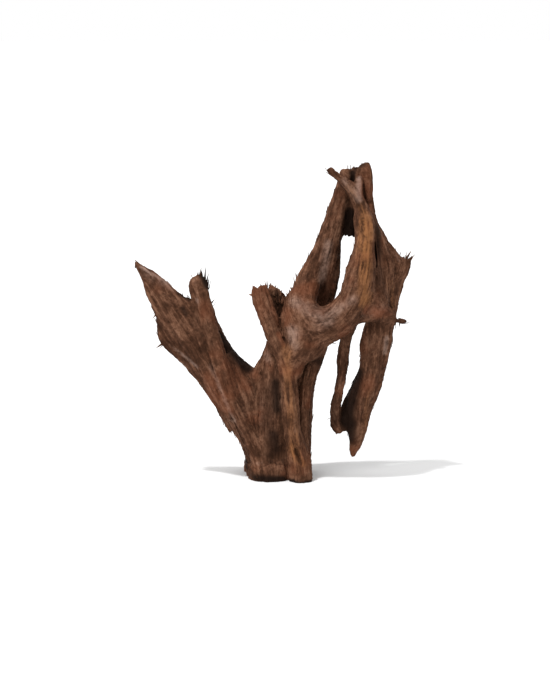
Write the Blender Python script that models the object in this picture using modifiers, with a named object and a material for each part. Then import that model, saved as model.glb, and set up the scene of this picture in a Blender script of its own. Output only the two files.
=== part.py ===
"""A piece of driftwood that stands on its sawn foot: a fluted trunk with a plank-like arm to the left,
and an A-shaped pair of limbs to the right that meet at a broken summit and drop a hanging branch.

+X is to the right and +Y away from the front, +Z is up, and the origin is on the sawn face of the foot.
"""

import math
import random
from collections import namedtuple

import bmesh
import bpy
from mathutils import Vector

MM = 0.001
RING_STEP = 5.0 * MM  # spacing of the rings along a strand
RING_SIDES = 32
JOIN_VOXEL = 2.0 * MM  # the grid on which the strands grow into one body
JOIN_SMOOTHING = 4
BODY_TRIANGLES = 9800
GROOVE_DEPTH = 0.22  # of the half width, for the deepest grooves between a strand's ridges
GROOVE_CHANGE = 0.25  # the share of that depth by which the grooves fade and deepen
TWIST_PER_M = 4.0  # radians that the ridges turn round a strand in one metre
WANDER = 0.22  # radians that they sway either way
WANDER_PER_M = 45.0  # radians of that sway in one metre
TOOTH_COUNT = 5
TOOTH_LENGTH = 0.6  # of the teeth round a broken end, in half widths
TOOTH_JITTER = 0.3
HOLLOW_DEPTH = 0.5  # of the hollow inside a broken end, in half widths
SPLINTER_SIDES = 5
SPLINTER_SUNK = 6.0 * MM
CROWN_LEAN = 0.35
CROWN_JITTER = 0.3  # radians
CROWN_LENGTHS = (0.5, 1.3)  # of the crown's own length
CROWN_WIDTHS = (2.0, 3.2)  # half widths of a splinter's root, in millimetres
GOLDEN_ANGLE = 2.39996
CRACK_SIDES = 8
CRACK_STEP = 15.0 * MM
FOOT_CUT_SIZE = 0.30
FRONT = Vector((0.0, -1.0, 0.0))
SEED = 11

# stations: x, y, z, half width across the front view and half depth, all in millimetres
# ridges: how many ridges run along it; broken: whether its first and last end are torn off
Strand = namedtuple("Strand", "stations ridges broken_first broken_last", defaults=(5, False, False))

# root: where a splinter leaves the wood; lean: the way it points; all in millimetres
Splinter = namedtuple("Splinter", "root lean length width")

Crown = namedtuple("Crown", "middle direction half_width half_depth count length")


def trunk():
    core = Strand([
        (3, 0, -12, 33, 31), (3, 0, 14, 32, 29), (5, 0, 45, 30, 25), (9, 2, 76, 27, 24),
        (13, 3, 108, 24, 23), (18, 4, 140, 22, 21), (23, 4, 169, 21, 19), (29, 2, 198, 19, 16),
    ], ridges=11)
    front_rib = Strand([
        (-24, -21, 240, 10, 7), (-22, -22, 231, 12, 8), (-18, -24, 217, 12, 9), (-13, -25, 203, 12, 10),
        (-7, -27, 185, 11, 10), (0, -29, 165, 10, 10), (8, -30, 142, 11, 10), (13, -29, 115, 11, 11),
        (15, -29, 87, 11, 11), (17, -29, 61, 11, 12), (22, -30, 39, 13, 13), (26, -31, 18, 15, 14),
        (28, -33, -12, 15, 15),
    ], ridges=5, broken_first=True)
    right_side = Strand([
        (32, -8, -12, 9, 19), (32, -8, 18, 9, 19), (32, -8, 46, 9, 19), (32, -7, 78, 9, 18),
        (33, -5, 104, 10, 18), (37, -3, 127, 11, 17), (42, 0, 147, 13, 16), (49, 2, 167, 13, 15),
        (54, 4, 191, 12, 13),
    ], ridges=7)
    valley = Strand([
        (-16, -18, -12, 12, 13), (-19, -18, 20, 12, 13), (-19, -16, 48, 12, 13), (-18, -15, 76, 12, 13),
        (-16, -13, 105, 12, 13), (-16, -10, 130, 12, 13), (-10, -6, 155, 11, 12), (-3, -2, 175, 11, 11),
        (2, 2, 200, 11, 10),
    ], ridges=6)
    foot_collar = Strand([
        (-9, -14, -12, 21, 21), (-10, -14, 5, 23, 20), (-12, -13, 14, 21, 17), (-12, -11, 24, 15, 12),
    ], ridges=9)
    foot_lip = Strand([
        (-34, 12, -12, 10, 17), (-33, 11, 6, 10, 16), (-31, 9, 18, 7, 13),
    ])
    back_middle = Strand([
        (1, 30, -12, 16, 13), (4, 29, 18, 16, 13), (5, 28, 51, 16, 13), (9, 26, 91, 16, 12),
        (17, 25, 130, 16, 12), (27, 24, 168, 16, 12), (35, 23, 201, 16, 11), (44, 22, 230, 15, 9),
        (53, 20, 258, 12, 7), (60, 17, 284, 9, 6),
    ])
    back_right = Strand([
        (26, 22, -12, 15, 14), (26, 21, 20, 15, 13), (27, 20, 60, 15, 13), (31, 19, 99, 14, 12),
        (38, 18, 131, 13, 11), (46, 17, 157, 11, 10), (54, 16, 183, 10, 9),
    ], ridges=5)
    return [core, front_rib, right_side, valley, foot_collar, foot_lip, back_middle, back_right]


def left_arm():
    outer_edge = Strand([
        (-28, 14, -12, 12, 17), (-28, 12, 13, 13, 17), (-32, 8, 36, 13, 16), (-44, 4, 60, 12, 14),
        (-58, 0, 83, 12, 13), (-69, -3, 101, 13, 12), (-82, -5, 118, 14, 12), (-97, -6, 136, 14, 11),
        (-112, -6, 153, 14, 10), (-133, -5, 173, 15, 9), (-141, -4, 186, 12, 8), (-146, -3, 203, 9, 6),
    ], ridges=5)
    pointed_plank = Strand([
        (-178, -8, 272, 2, 2), (-169, -8, 261.5, 7, 4), (-159, -8, 250, 13, 6), (-146, -8, 231, 19, 8),
        (-130, -8, 209, 25, 10), (-116, -9, 187, 27, 11), (-101, -10, 163, 24, 12), (-85, -10, 136, 22, 13),
        (-68, -9, 107, 20, 14), (-51, -8, 77, 20, 15), (-36, -6, 49, 17, 16), (-25, -4, 17, 16, 18),
        (-21, -4, -12, 16, 20),
    ], ridges=10)
    plank_ridge = Strand([
        (-148, -13, 226, 5, 5), (-136, -15, 208, 8, 7), (-122, -17, 187, 9, 8), (-107, -18, 164, 9, 8),
        (-90, -19, 137, 9, 9), (-72, -20, 106, 8, 9), (-56, -20, 76, 8, 8),
    ], ridges=4)
    below_notch = Strand([
        (-120, -6, 224, 10, 7), (-108, -8, 202, 14, 9), (-96, -9, 177, 14, 10), (-84, -10, 151, 14, 11),
        (-72, -11, 122, 14, 12), (-58, -12, 96, 13, 12), (-46, -12, 66, 12, 12), (-34, -12, 40, 12, 12),
    ])
    ridge_and_prong = Strand([
        (-103, -6, 254, 12, 7), (-100, -8, 243, 12, 9), (-96, -11, 225, 12, 10), (-90, -14, 203, 11, 11),
        (-83, -16, 180, 11, 11), (-76, -18, 158, 11, 12), (-68, -20, 133, 11, 12), (-60, -21, 107, 11, 12),
        (-49, -22, 80, 11, 12), (-37, -23, 52, 11, 12), (-26, -24, 25, 11, 12), (-20, -24, -12, 12, 12),
    ], ridges=5, broken_first=True)
    inner_wall = Strand([
        (-95, 2, 230, 6, 7), (-91, 3, 212, 9, 9), (-86, 5, 190, 11, 10), (-76, 6, 169, 11, 12),
        (-64, 8, 151, 11, 14), (-54, 9, 138, 12, 15), (-42, 8, 127, 14, 16), (-31, 7, 110, 15, 17),
        (-25, 5, 89, 15, 17), (-23, 3, 57, 15, 17),
    ], ridges=7)
    crotch = Strand([
        (-66, -4, 156, 11, 10), (-52, -7, 126, 14, 12), (-41, -8, 100, 16, 14), (-33, -8, 72, 15, 14),
        (-27, -8, 40, 14, 14), (-22, -8, 8, 12, 12),
    ], ridges=7)
    back = Strand([
        (-22, 24, -12, 16, 15), (-26, 22, 20, 16, 14), (-39, 18, 53, 16, 13), (-56, 12, 87, 15, 12),
        (-77, 7, 120, 15, 11), (-98, 4, 150, 15, 10), (-117, 3, 178, 14, 8), (-130, 1, 200, 11, 6),
    ], ridges=7)
    return [
        outer_edge, pointed_plank, plank_ridge, below_notch, ridge_and_prong, inner_wall, crotch, back,
    ]


def stub_and_knuckle():
    stub_root = Strand([
        (-20, -2, 107, 15, 16), (-19, -1, 131, 14, 16), (-10, 0, 147, 14, 16), (-2, 2, 163, 13, 15),
        (4, 4, 185, 13, 14), (11, 6, 207, 13, 13), (22, 8, 226, 12, 11),
    ])
    hollow_wall = Strand([
        (4, 4, 165, 13, 12), (-3, 2, 188, 15, 10), (-5, 0, 210, 18, 8), (-8, -1, 225, 17, 6),
        (-15, -2, 237, 9, 5),
    ], broken_last=True)
    knuckle = Strand([
        (14, -28, 138, 8, 8), (17, -30, 150, 12, 10), (22, -31, 160, 19, 12), (29, -32, 169, 26, 14),
        (33, -33, 181, 31, 16), (32, -32, 199, 28, 17), (28, -29, 217, 23, 16), (27, -21, 231, 17, 12),
        (29, -9, 241, 10, 8),
    ], ridges=12)
    knuckle_to_leg = Strand([
        (27, -26, 206, 17, 14), (30, -18, 226, 18, 13), (36, -8, 245, 17, 11), (43, 4, 264, 14, 9),
        (49, 13, 282, 10, 8),
    ], ridges=7)
    return [stub_root, hollow_wall, knuckle, knuckle_to_leg]


def loop_limb():
    main = Strand([
        (26, -30, 198, 20, 16), (42, -34, 194, 24, 17), (58, -36, 197, 24, 17), (75, -37, 209, 22, 16),
        (88, -37, 226, 19, 15), (95, -36, 245, 19, 14), (99, -31, 265, 18, 13), (103, -25, 286, 14, 12),
        (105, -19, 305, 13, 11), (104, -14, 322, 13, 10), (101, -11, 338, 10, 8), (95, -10, 353, 8, 7),
        (87, -10, 364, 7, 6), (78, -10, 373, 6, 5), (68, -11, 378, 5.5, 5), (61, -12, 383, 5, 4),
        (57, -13, 388, 3, 2.5),
    ], ridges=8)
    short_tine = Strand([
        (105, -12, 325, 8, 7), (103, -9, 344, 7, 6), (100, -7, 359, 6.5, 5), (98, -6, 370, 5, 4),
        (97, -6, 379, 2.5, 2),
    ], ridges=4)
    outer_strand = Strand([
        (109, -13, 316, 7, 8), (110, -19, 295, 8, 9), (109, -26, 271, 10, 10), (108, -30, 246, 10, 11),
        (103, -30, 231, 11, 12), (94, -30, 213, 11, 12), (84, -31, 198, 11, 12), (69, -31, 188, 11, 12),
        (51, -30, 178, 12, 12), (36, -28, 164, 11, 11), (25, -26, 148, 10, 10), (18, -24, 130, 9, 9),
    ], ridges=5)
    saddle = Strand([
        (30, -34, 212, 14, 12), (44, -37, 205, 15, 12), (58, -39, 203, 14, 12), (72, -41, 213, 13, 12),
        (84, -42, 229, 11, 11), (91, -41, 247, 10, 10),
    ], ridges=5)
    return [main, short_tine, outer_strand, saddle]


def tall_leg():
    leg = Strand([
        (34, 6, 191, 21, 15), (39, 10, 215, 24, 15), (46, 13, 240, 24, 14), (52, 13, 260, 21, 13),
        (58, 12, 280, 19, 12), (63, 10, 300, 16, 11), (68, 8, 320, 14, 10), (73, 6, 340, 12, 9),
        (77, 4, 357, 10, 8), (81, 2, 372, 9, 8), (84, 1, 383, 7, 6),
    ], ridges=8, broken_last=True)
    right_flange = Strand([
        (74, 16, 293, 4, 4), (72, 16, 272, 6, 6), (69, 15, 249, 7, 7), (64, 14, 227, 7, 8),
        (58, 12, 211, 6, 8),
    ], ridges=4)
    return [leg, right_flange]


def right_branch():
    web = Strand([
        (97, 4, 384, 8, 7), (91, 7, 370, 11, 9), (88, 12, 347, 11, 9), (87, 15, 324, 11, 7),
        (86, 16, 304, 10, 6),
    ], broken_first=True, broken_last=True)
    branch = Strand([
        (105, 6, 388, 10, 8), (106, 6, 374, 10.5, 9), (105, 7, 352, 11.5, 10), (107, 8, 331, 13, 11),
        (110, 9, 316, 14.5, 12), (115, 10, 301, 17, 12), (121, 10, 286, 19, 12), (131, 10, 265, 25, 12),
        (132, 9, 245, 25, 12), (130, 8, 228, 22, 12), (129, 7, 209, 20, 12), (128, 6, 191, 20, 12),
    ], ridges=11, broken_first=True)
    side_stub = Strand([
        (136, 8, 243, 14, 10), (146, 8, 257, 16, 9), (152, 8, 268, 15, 8), (154, 8, 278, 13, 7),
    ], broken_last=True)
    front_strand = Strand([
        (109, 0, 342, 6, 7), (114, -1, 317, 8, 8), (123, -2, 292, 10, 8), (130, -3, 268, 12, 8),
        (130, -4, 243, 12, 8), (128, -5, 222, 11, 9),
    ], ridges=5)
    back_strand = Strand([
        (112, 17, 327, 7, 6), (119, 20, 289, 11, 7), (132, 21, 258, 13, 8), (132, 20, 226, 12, 8),
        (127, 19, 195, 12, 8), (121, 19, 163, 12, 8), (114, 20, 131, 11, 8),
    ])
    crossbar = Strand([
        (93, -24, 207, 11, 10), (108, -18, 210, 14, 11), (121, -12, 210, 14, 10), (133, -7, 207, 12, 10),
        (143, -4, 200, 7, 7), (151, -3, 197, 5, 5), (157, -3, 197, 4.5, 4), (160, -3, 197, 2, 2),
    ], ridges=5)
    crossbar_root = Strand([
        (106, -30, 262, 8, 8), (107, -29, 244, 9, 9), (112, -24, 228, 11, 10), (122, -17, 218, 11, 9),
        (134, -10, 212, 9, 8),
    ], ridges=5)
    loop_junction = Strand([
        (111, -8, 306, 8, 8), (113, -12, 282, 10, 10), (115, -13, 256, 12, 11), (117, -12, 232, 13, 11),
        (119, -3, 208, 12, 9), (120, 7, 190, 9, 6),
    ], ridges=6)
    return [web, branch, side_stub, front_strand, back_strand, crossbar, crossbar_root, loop_junction]


def hanging_branch():
    blade = Strand([
        (128, 6, 200, 19, 12), (121, 7, 165, 21.5, 12), (118, 9, 139, 18, 12), (112, 11, 113, 18, 12),
        (104, 12, 94, 19, 11), (100, 12, 74, 16, 10), (99, 12, 55, 13, 9), (98, 12, 38, 9, 6),
        (95, 12, 28, 6, 4), (94, 12, 20, 2.5, 2),
    ], ridges=8)
    blade_ridge = Strand([
        (124, -5, 196, 8, 6), (119, -3, 163, 9, 6), (115, -1, 134, 9, 6), (108, 1, 106, 8, 6),
        (104, 3, 80, 7, 6),
    ], ridges=4)
    inner_face = Strand([
        (107, 18, 128, 8, 8), (99, 21, 107, 9, 8), (89, 21, 86, 9, 8), (84, 20, 68, 9, 7),
    ])
    thin_strip = Strand([
        (95, 4, 204, 7, 8), (89, 6, 187, 8, 7), (83, 8, 169, 8, 6.5), (80, 9, 148, 8, 6.5),
        (79, 10, 129, 7, 6), (76, 10, 109, 6.5, 6), (73, 10, 91, 6.5, 6), (72, 11, 76, 8, 7),
        (73, 11, 63, 8, 7), (76, 11, 54, 6, 5),
    ], ridges=4, broken_last=True)
    bottom_web = Strand([
        (72, 12, 66, 11, 6), (82, 16, 67, 15, 6), (95, 14, 70, 15, 8),
    ])
    return [blade, blade_ridge, inner_face, thin_strip, bottom_web]


def splinters():
    """The single splinters that stand out of the outline."""
    return [
        Splinter((-101, -6, 252), (0.1, 0.0, 1.0), 12, 3.0),
        Splinter((-95, -6, 252), (0.2, 0.1, 1.0), 14, 2.8),
        Splinter((-90, -6, 250), (0.3, 0.1, 1.0), 11, 2.8),
        Splinter((-85, -2, 218), (0.6, -0.1, 0.9), 10, 2.8),
        Splinter((-117, -4, 226), (0.0, 0.0, 1.0), 9, 3.2),
        Splinter((-153, -4, 206), (-0.7, 0.0, -0.9), 9, 2.8),
        Splinter((-148, -4, 190), (-0.5, 0.0, -1.0), 9, 3.2),
        Splinter((-146, -4, 168), (-1.0, 0.0, -0.7), 10, 3.8),
        Splinter((-58, 6, 66), (0.0, 0.0, -1.0), 12, 4.0),
        Splinter((-77, 4, 182), (0.5, 0.0, 0.8), 8, 3.2),
        Splinter((-15, -3, 238), (0.0, -0.1, 1.0), 13, 3.0),
        Splinter((-33, -20, 234), (-1.0, 0.0, 0.5), 8, 3.0),
        Splinter((24, -14, 246), (-0.3, 0.2, 1.0), 12, 3.4),
        Splinter((10, -25, 228), (-0.6, 0.1, 1.0), 9, 3.4),
        Splinter((62, -26, 174), (1.0, 0.0, -0.2), 9, 2.8),
        Splinter((42, 0, 124), (1.0, 0.0, -0.1), 9, 2.6),
        Splinter((150, -3, 195), (-0.1, 0.0, -1.0), 7, 2.6),
        Splinter((161, 8, 279), (0.4, 0.0, 1.0), 9, 2.8),
        Splinter((164, 7, 275), (0.9, 0.0, 0.7), 8, 2.8),
        Splinter((66, -12, 380), (-0.1, 0.0, 1.0), 8, 3.0),
    ]


def cracks():
    """Deep cracks and hollows, as the spindles that are cut out of the wood."""
    between_stub_and_knuckle = [
        (-3, -14, 246, 6, 10), (-3, -20, 228, 6, 12), (0, -26, 208, 4, 12), (3, -32, 186, 1, 6),
    ]
    right_of_rib = [(27, -42, 150, 1, 4), (27, -38, 130, 2.4, 9), (27, -37, 108, 2.4, 9), (28, -42, 84, 1, 4)]
    knot_hollow = [(19, -47, 46, 1, 3), (22, -44, 38, 3.4, 7), (26, -45, 28, 3.0, 6), (29, -48, 20, 1, 3)]
    trunk_valley = [(-6, -30, 128, 1, 3), (-3, -27, 100, 3.0, 8), (-3, -27, 72, 3.0, 8), (-1, -32, 44, 1, 3)]
    upper_arm = [
        (-112, -24, 208, 1, 3), (-105, -21, 186, 2.6, 7), (-98, -22, 166, 2.4, 7), (-88, -30, 142, 1, 3),
    ]
    lower_arm = [(-66, -36, 94, 1, 4), (-58, -31, 76, 2.6, 8), (-48, -31, 56, 2.4, 8), (-38, -38, 36, 1, 4)]
    summit = [
        (103, -12, 378, 1.6, 8), (105, -8, 358, 2.6, 8), (109, -6, 336, 2.2, 6), (113, -10, 318, 1, 4),
    ]
    beside_loop = [
        (118, -18, 296, 1, 5), (119, -14, 270, 2.6, 8), (119, -14, 248, 2.6, 8), (118, -20, 236, 1, 5),
    ]
    trunk_back = [(14, 46, 170, 1, 4), (12, 42, 130, 2.8, 9), (10, 43, 92, 2.8, 9), (12, 47, 58, 1, 4)]
    foot_back = [(-30, 40, 76, 1, 4), (-22, 38, 50, 2.8, 9), (-14, 38, 24, 2.8, 9), (-12, 42, 2, 1.4, 5)]
    spindles = [
        between_stub_and_knuckle, right_of_rib, knot_hollow, trunk_valley, upper_arm, lower_arm, summit,
        beside_loop, trunk_back, foot_back,
    ]
    return [Strand(stations, 3) for stations in spindles]


def crowns():
    """The torn ends: middle, direction, half width, half depth, number of splinters and their length."""
    return [
        Crown((-100, -6, 252), (-0.1, 0.0, 1.0), 10, 6, 7, 6),
        Crown((-23, -20, 239), (-0.3, 0.2, 1.0), 9, 6, 7, 6),
        Crown((-13, -2, 235), (0.0, 0.0, 1.0), 8, 4, 5, 5),
        Crown((105, 6, 387), (0.0, 0.0, 1.0), 8, 6, 8, 4),
        Crown((96, 4, 383), (-0.1, 0.0, 1.0), 7, 5, 6, 4),
        Crown((84, 1, 383), (-0.1, 0.0, 1.0), 6, 4, 5, 3.5),
        Crown((153, 8, 277), (0.1, 0.0, 1.0), 11, 6, 8, 4),
        Crown((77, 11, 54), (0.1, 0.0, -1.0), 5, 4, 4, 5),
        Crown((91, 14, 303), (0.0, 0.0, -1.0), 7, 3, 4, 3),
    ]


def catmull_rom(stations, at):
    """The stations' numbers at a place from 0 to the number of spans, on a curve through every station."""
    span = min(int(at), len(stations) - 2)
    t = at - span
    before, start, end, after = (
        stations[max(0, min(len(stations) - 1, span + step))] for step in (-1, 0, 1, 2)
    )
    return [
        0.5 * (2 * b + (c - a) * t + (2 * a - 5 * b + 4 * c - d) * t**2 + (3 * b - a - 3 * c + d) * t**3)
        for a, b, c, d in zip(before, start, end, after)
    ]


def walk(stations, step):
    """Centre, half width and half depth of each ring of a strand, in metres."""
    rings = []
    for span in range(len(stations) - 1):
        gap = (Vector(stations[span][:3]) - Vector(stations[span + 1][:3])).length * MM
        count = max(2, round(gap / step))
        last = span == len(stations) - 2
        rings += [catmull_rom(stations, span + i / count) for i in range(count + last)]
    return [(Vector(ring[:3]) * MM, ring[3] * MM, ring[4] * MM) for ring in rings]


def loft(bm, strand, draw, sides=RING_SIDES, step=RING_STEP, groove=GROOVE_DEPTH):
    """Adds one strand to bm: fluted oval rings joined along a curve, with both ends closed."""
    rings = walk(strand.stations, step)
    phase, tooth_phase = draw.uniform(0, math.pi), draw.uniform(0, math.pi)
    made = []
    hubs = []
    run = 0.0
    for i, (centre, half_width, half_depth) in enumerate(rings):
        before, after = rings[max(0, i - 1)][0], rings[min(len(rings) - 1, i + 1)][0]
        tangent = (after - before).normalized()
        across = tangent.cross(FRONT).normalized()
        outward = across.cross(tangent)
        run += (centre - before).length
        first, last = i == 0, i == len(rings) - 1
        torn = (strand.broken_first and first) or (strand.broken_last and last)
        away = -tangent if first else tangent
        ring = []
        for side in range(sides):
            angle = 2 * math.pi * side / sides
            turned = angle + TWIST_PER_M * run + WANDER * math.sin(WANDER_PER_M * run + phase)
            ridge = abs(math.cos(0.5 * strand.ridges * turned + phase))
            fade = GROOVE_CHANGE * (1 - math.sin(2 * angle + WANDER_PER_M * run + tooth_phase))
            swell = 1 - groove * (1 - fade) * (1 - ridge)
            place = centre + swell * (
                across * (half_width * math.cos(angle)) + outward * (half_depth * math.sin(angle))
            )
            if torn:
                tooth = abs(math.cos(0.5 * TOOTH_COUNT * angle + tooth_phase))
                tooth += draw.uniform(-TOOTH_JITTER, TOOTH_JITTER)
                place += away * (tooth * TOOTH_LENGTH * half_width)
            ring.append(bm.verts.new(place))
        made.append(ring)
        if first or last:
            hubs.append((ring, centre - away * (HOLLOW_DEPTH * half_width) if torn else centre))
    for lower, upper in zip(made, made[1:]):
        for side in range(sides):
            other = (side + 1) % sides
            bm.faces.new((lower[side], lower[other], upper[other], upper[side]))
    for ring, middle in hubs:
        hub = bm.verts.new(middle)
        for side in range(sides):
            bm.faces.new((ring[side], ring[(side + 1) % sides], hub))


def mesh_object(name, bm, collection):
    bmesh.ops.recalc_face_normals(bm, faces=bm.faces)
    mesh = bpy.data.meshes.new(name)
    bm.to_mesh(mesh)
    bm.free()
    made = bpy.data.objects.new(name, mesh)
    if collection.hide_render:
        made.hide_render = True
        made.display_type = "WIRE"
    collection.objects.link(made)
    return made


def apply_modifiers(thing):
    """Replaces the object's mesh by the one that its modifiers make, and removes them."""
    graph = bpy.context.evaluated_depsgraph_get()
    mesh = bpy.data.meshes.new_from_object(thing.evaluated_get(graph))
    thing.modifiers.clear()
    thing.data = mesh


def keep_largest_surface(mesh):
    """Removes the loose crumbs and inner pockets that joining and cutting leave."""
    bm = bmesh.new()
    bm.from_mesh(mesh)
    islands = []
    unseen = set(bm.verts)
    while unseen:
        island = [unseen.pop()]
        for vert in island:
            near = {edge.other_vert(vert) for edge in vert.link_edges} & unseen
            unseen -= near
            island.extend(near)
        islands.append(island)
    islands.sort(key=len)
    for island in islands[:-1]:
        bmesh.ops.delete(bm, geom=island, context="VERTS")
    bm.to_mesh(mesh)
    bm.free()


def fused_body(strands, draw, collection):
    """One closed body from the overlapping strands, light enough to be a solid."""
    bm = bmesh.new()
    for strand in strands:
        loft(bm, strand, draw)
    body = mesh_object("driftwood", bm, collection)
    join = body.modifiers.new("grow_together", "REMESH")
    join.mode = "VOXEL"
    join.voxel_size = JOIN_VOXEL
    soften = body.modifiers.new("soften_joins", "SMOOTH")
    soften.factor = 0.5
    soften.iterations = JOIN_SMOOTHING
    apply_modifiers(body)
    keep_largest_surface(body.data)
    faces = len(body.data.polygons)
    lighten = body.modifiers.new("lighten", "DECIMATE")
    lighten.use_collapse_triangulate = True
    lighten.ratio = BODY_TRIANGLES / (2 * faces)
    apply_modifiers(body)
    return body


def splinter_object(splinter, collection):
    """A thin pointed cone with its root sunk in the wood."""
    bm = bmesh.new()
    length = splinter.length * MM + SPLINTER_SUNK
    bmesh.ops.create_cone(
        bm, cap_ends=True, segments=SPLINTER_SIDES, radius1=splinter.width * MM, radius2=0.0, depth=length
    )
    lean = Vector(splinter.lean).normalized()
    root = Vector(splinter.root) * MM - lean * SPLINTER_SUNK
    turn = Vector((0, 0, 1)).rotation_difference(lean).to_matrix()
    for vert in bm.verts:
        vert.co = root + turn @ (vert.co + Vector((0, 0, length / 2)))
    return mesh_object("splinter", bm, collection)


def crown_splinters(crown, draw):
    """Splinters spread over a torn end, each leaning a little outwards."""
    along = Vector(crown.direction).normalized()
    across = along.cross(FRONT).normalized()
    outward = across.cross(along)
    made = []
    for i in range(crown.count):
        angle = GOLDEN_ANGLE * i + draw.uniform(-CROWN_JITTER, CROWN_JITTER)
        reach = math.sqrt((i + 0.5) / crown.count)
        off = reach * (
            across * (crown.half_width * math.cos(angle)) + outward * (crown.half_depth * math.sin(angle))
        )
        lean = along + off.normalized() * draw.uniform(0.0, CROWN_LEAN)
        length = crown.length * draw.uniform(*CROWN_LENGTHS)
        made.append(Splinter(Vector(crown.middle) + off, lean, length, draw.uniform(*CROWN_WIDTHS)))
    return made


def combine(body, operation, others):
    """Joins or cuts the body with every object of a helper collection, and removes the collection."""
    change = body.modifiers.new(operation.lower(), "BOOLEAN")
    change.operation = operation
    change.operand_type = "COLLECTION"
    change.collection = others
    change.solver = "EXACT"
    apply_modifiers(body)
    for other in list(others.objects):
        bpy.data.objects.remove(other)
    bpy.data.collections.remove(others)


def new_collection(name, helper=False):
    made = bpy.data.collections.new(name)
    made.hide_render = helper
    bpy.context.scene.collection.children.link(made)
    return made


def foot_cutter(collection):
    """A block under the foot, whose top is the plane of the saw cut."""
    bm = bmesh.new()
    bmesh.ops.create_cube(bm, size=FOOT_CUT_SIZE)
    bmesh.ops.translate(bm, verts=bm.verts, vec=(0, 0, -FOOT_CUT_SIZE / 2))
    return mesh_object("saw_cut", bm, collection)


def weathered_wood():
    material = bpy.data.materials.new("weathered_wood")
    material.use_nodes = True
    shader = material.node_tree.nodes["Principled BSDF"]
    shader.inputs["Base Color"].default_value = (0.100, 0.048, 0.028, 1.0)
    shader.inputs["Roughness"].default_value = 0.75
    shader.inputs["Metallic"].default_value = 0.0
    material.diffuse_color = (0.100, 0.048, 0.028, 1.0)
    return material


def main():
    for thing in list(bpy.data.objects):
        bpy.data.objects.remove(thing)
    draw = random.Random(SEED)
    collection = new_collection("driftwood_piece")
    strands = trunk() + left_arm() + stub_and_knuckle() + loop_limb() + tall_leg()
    strands += right_branch() + hanging_branch()
    body = fused_body(strands, draw, collection)

    joined = new_collection("splinters", helper=True)
    single = splinters()
    for crown in crowns():
        single += crown_splinters(crown, draw)
    for splinter in single:
        splinter_object(splinter, joined)
    combine(body, "UNION", joined)

    cut = new_collection("cuts", helper=True)
    for crack in cracks():
        bm = bmesh.new()
        loft(bm, crack, draw, sides=CRACK_SIDES, step=CRACK_STEP, groove=0.0)
        mesh_object("crack", bm, cut)
    foot_cutter(cut)
    combine(body, "DIFFERENCE", cut)
    keep_largest_surface(body.data)
    body.data.materials.clear()
    body.data.materials.append(weathered_wood())
    body.data.shade_smooth()


main()
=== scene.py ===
import math
import random

import bmesh
import bpy
import numpy as np
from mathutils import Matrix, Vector
from mathutils.kdtree import KDTree


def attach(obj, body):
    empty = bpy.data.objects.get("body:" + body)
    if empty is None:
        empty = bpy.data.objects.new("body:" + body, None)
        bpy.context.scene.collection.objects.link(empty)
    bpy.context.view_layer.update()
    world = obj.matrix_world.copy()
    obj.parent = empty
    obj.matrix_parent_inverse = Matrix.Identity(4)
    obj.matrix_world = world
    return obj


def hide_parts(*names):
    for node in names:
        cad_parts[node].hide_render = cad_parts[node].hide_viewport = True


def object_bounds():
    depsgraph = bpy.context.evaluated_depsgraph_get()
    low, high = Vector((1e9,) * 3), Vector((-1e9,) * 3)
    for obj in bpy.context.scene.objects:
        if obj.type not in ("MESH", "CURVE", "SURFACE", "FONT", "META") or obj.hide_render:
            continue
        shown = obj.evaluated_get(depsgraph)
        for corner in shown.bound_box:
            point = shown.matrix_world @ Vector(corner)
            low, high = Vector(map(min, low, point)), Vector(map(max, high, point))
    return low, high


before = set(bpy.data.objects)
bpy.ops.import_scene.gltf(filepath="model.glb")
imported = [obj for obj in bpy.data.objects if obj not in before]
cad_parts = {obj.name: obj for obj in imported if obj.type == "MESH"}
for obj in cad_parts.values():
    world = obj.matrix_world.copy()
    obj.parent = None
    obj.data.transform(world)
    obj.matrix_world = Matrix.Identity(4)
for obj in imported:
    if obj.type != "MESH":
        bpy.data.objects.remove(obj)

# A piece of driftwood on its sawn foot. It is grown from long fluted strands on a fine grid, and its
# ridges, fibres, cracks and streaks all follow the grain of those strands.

cadBox = [list(corner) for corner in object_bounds()]
mm = 0.001
front = np.array((0.0, -1.0, 0.0))

growth = {
    "seed": 11,
    "grid": 1.2 * mm,  # the cells in which the strands grow together
    "quickGrid": 2.2 * mm,
    "smoothing": 12,
    "ringStep": 2.5 * mm,
    "ringSides": 48,
    "grooveDepth": 0.13,  # of the half width, between a strand's ridges
    "grooveChange": 0.25,
    "swell": 0.98,
    "twist": 4.0,  # radians in one metre
    "wander": 0.22,
    "wanderRate": 45.0,
    "teeth": 5,
    "toothLength": 0.6,  # this and the hollow's depth are parts of the half width
    "toothJitter": 0.3,
    "jittersPerRing": 32,
    "hollowDepth": 0.5,
    "triangles": 188000,
}

grain = {
    "shortStep": 1.8 * mm,  # two steps along the grain, over which noise is drawn out into streaks
    "longStep": 5.5 * mm,
    "ridgeRounds": (6, 6, 24),  # rounds of blur, of short steps and of long steps
    "fibreRounds": (0, 6, 8),
    "fleckRounds": (0, 5, 1),
    "flowRounds": (3, 6, 50),
    "patchRounds": 120,
    "crackWidth": 0.22,  # both in the measure of evened noise
    "crackFrom": 0.3,
    "ridgeDepth": 0.3 * mm,
    "fibreDepth": 0.24 * mm,
    "crackDepth": 1.2 * mm,
    "lumpDepth": 3.2 * mm,
    "lumpScale": 75.0,
    "pitDepth": 1.5 * mm,
    "pitScale": 240.0,
    "ledgeDepth": 2.8 * mm,
    "ledgeHeights": (18 * mm, 20.5 * mm),  # where the foot's ledge fades out, up and across
    "ledgeEnds": (2 * mm, 12 * mm),
    "ledgeWaver": 20 * mm,
    "ledgeWaverScale": 55.0,
    "tornLength": 1.3 * mm,
    "calmRounds": 90,
}


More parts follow.
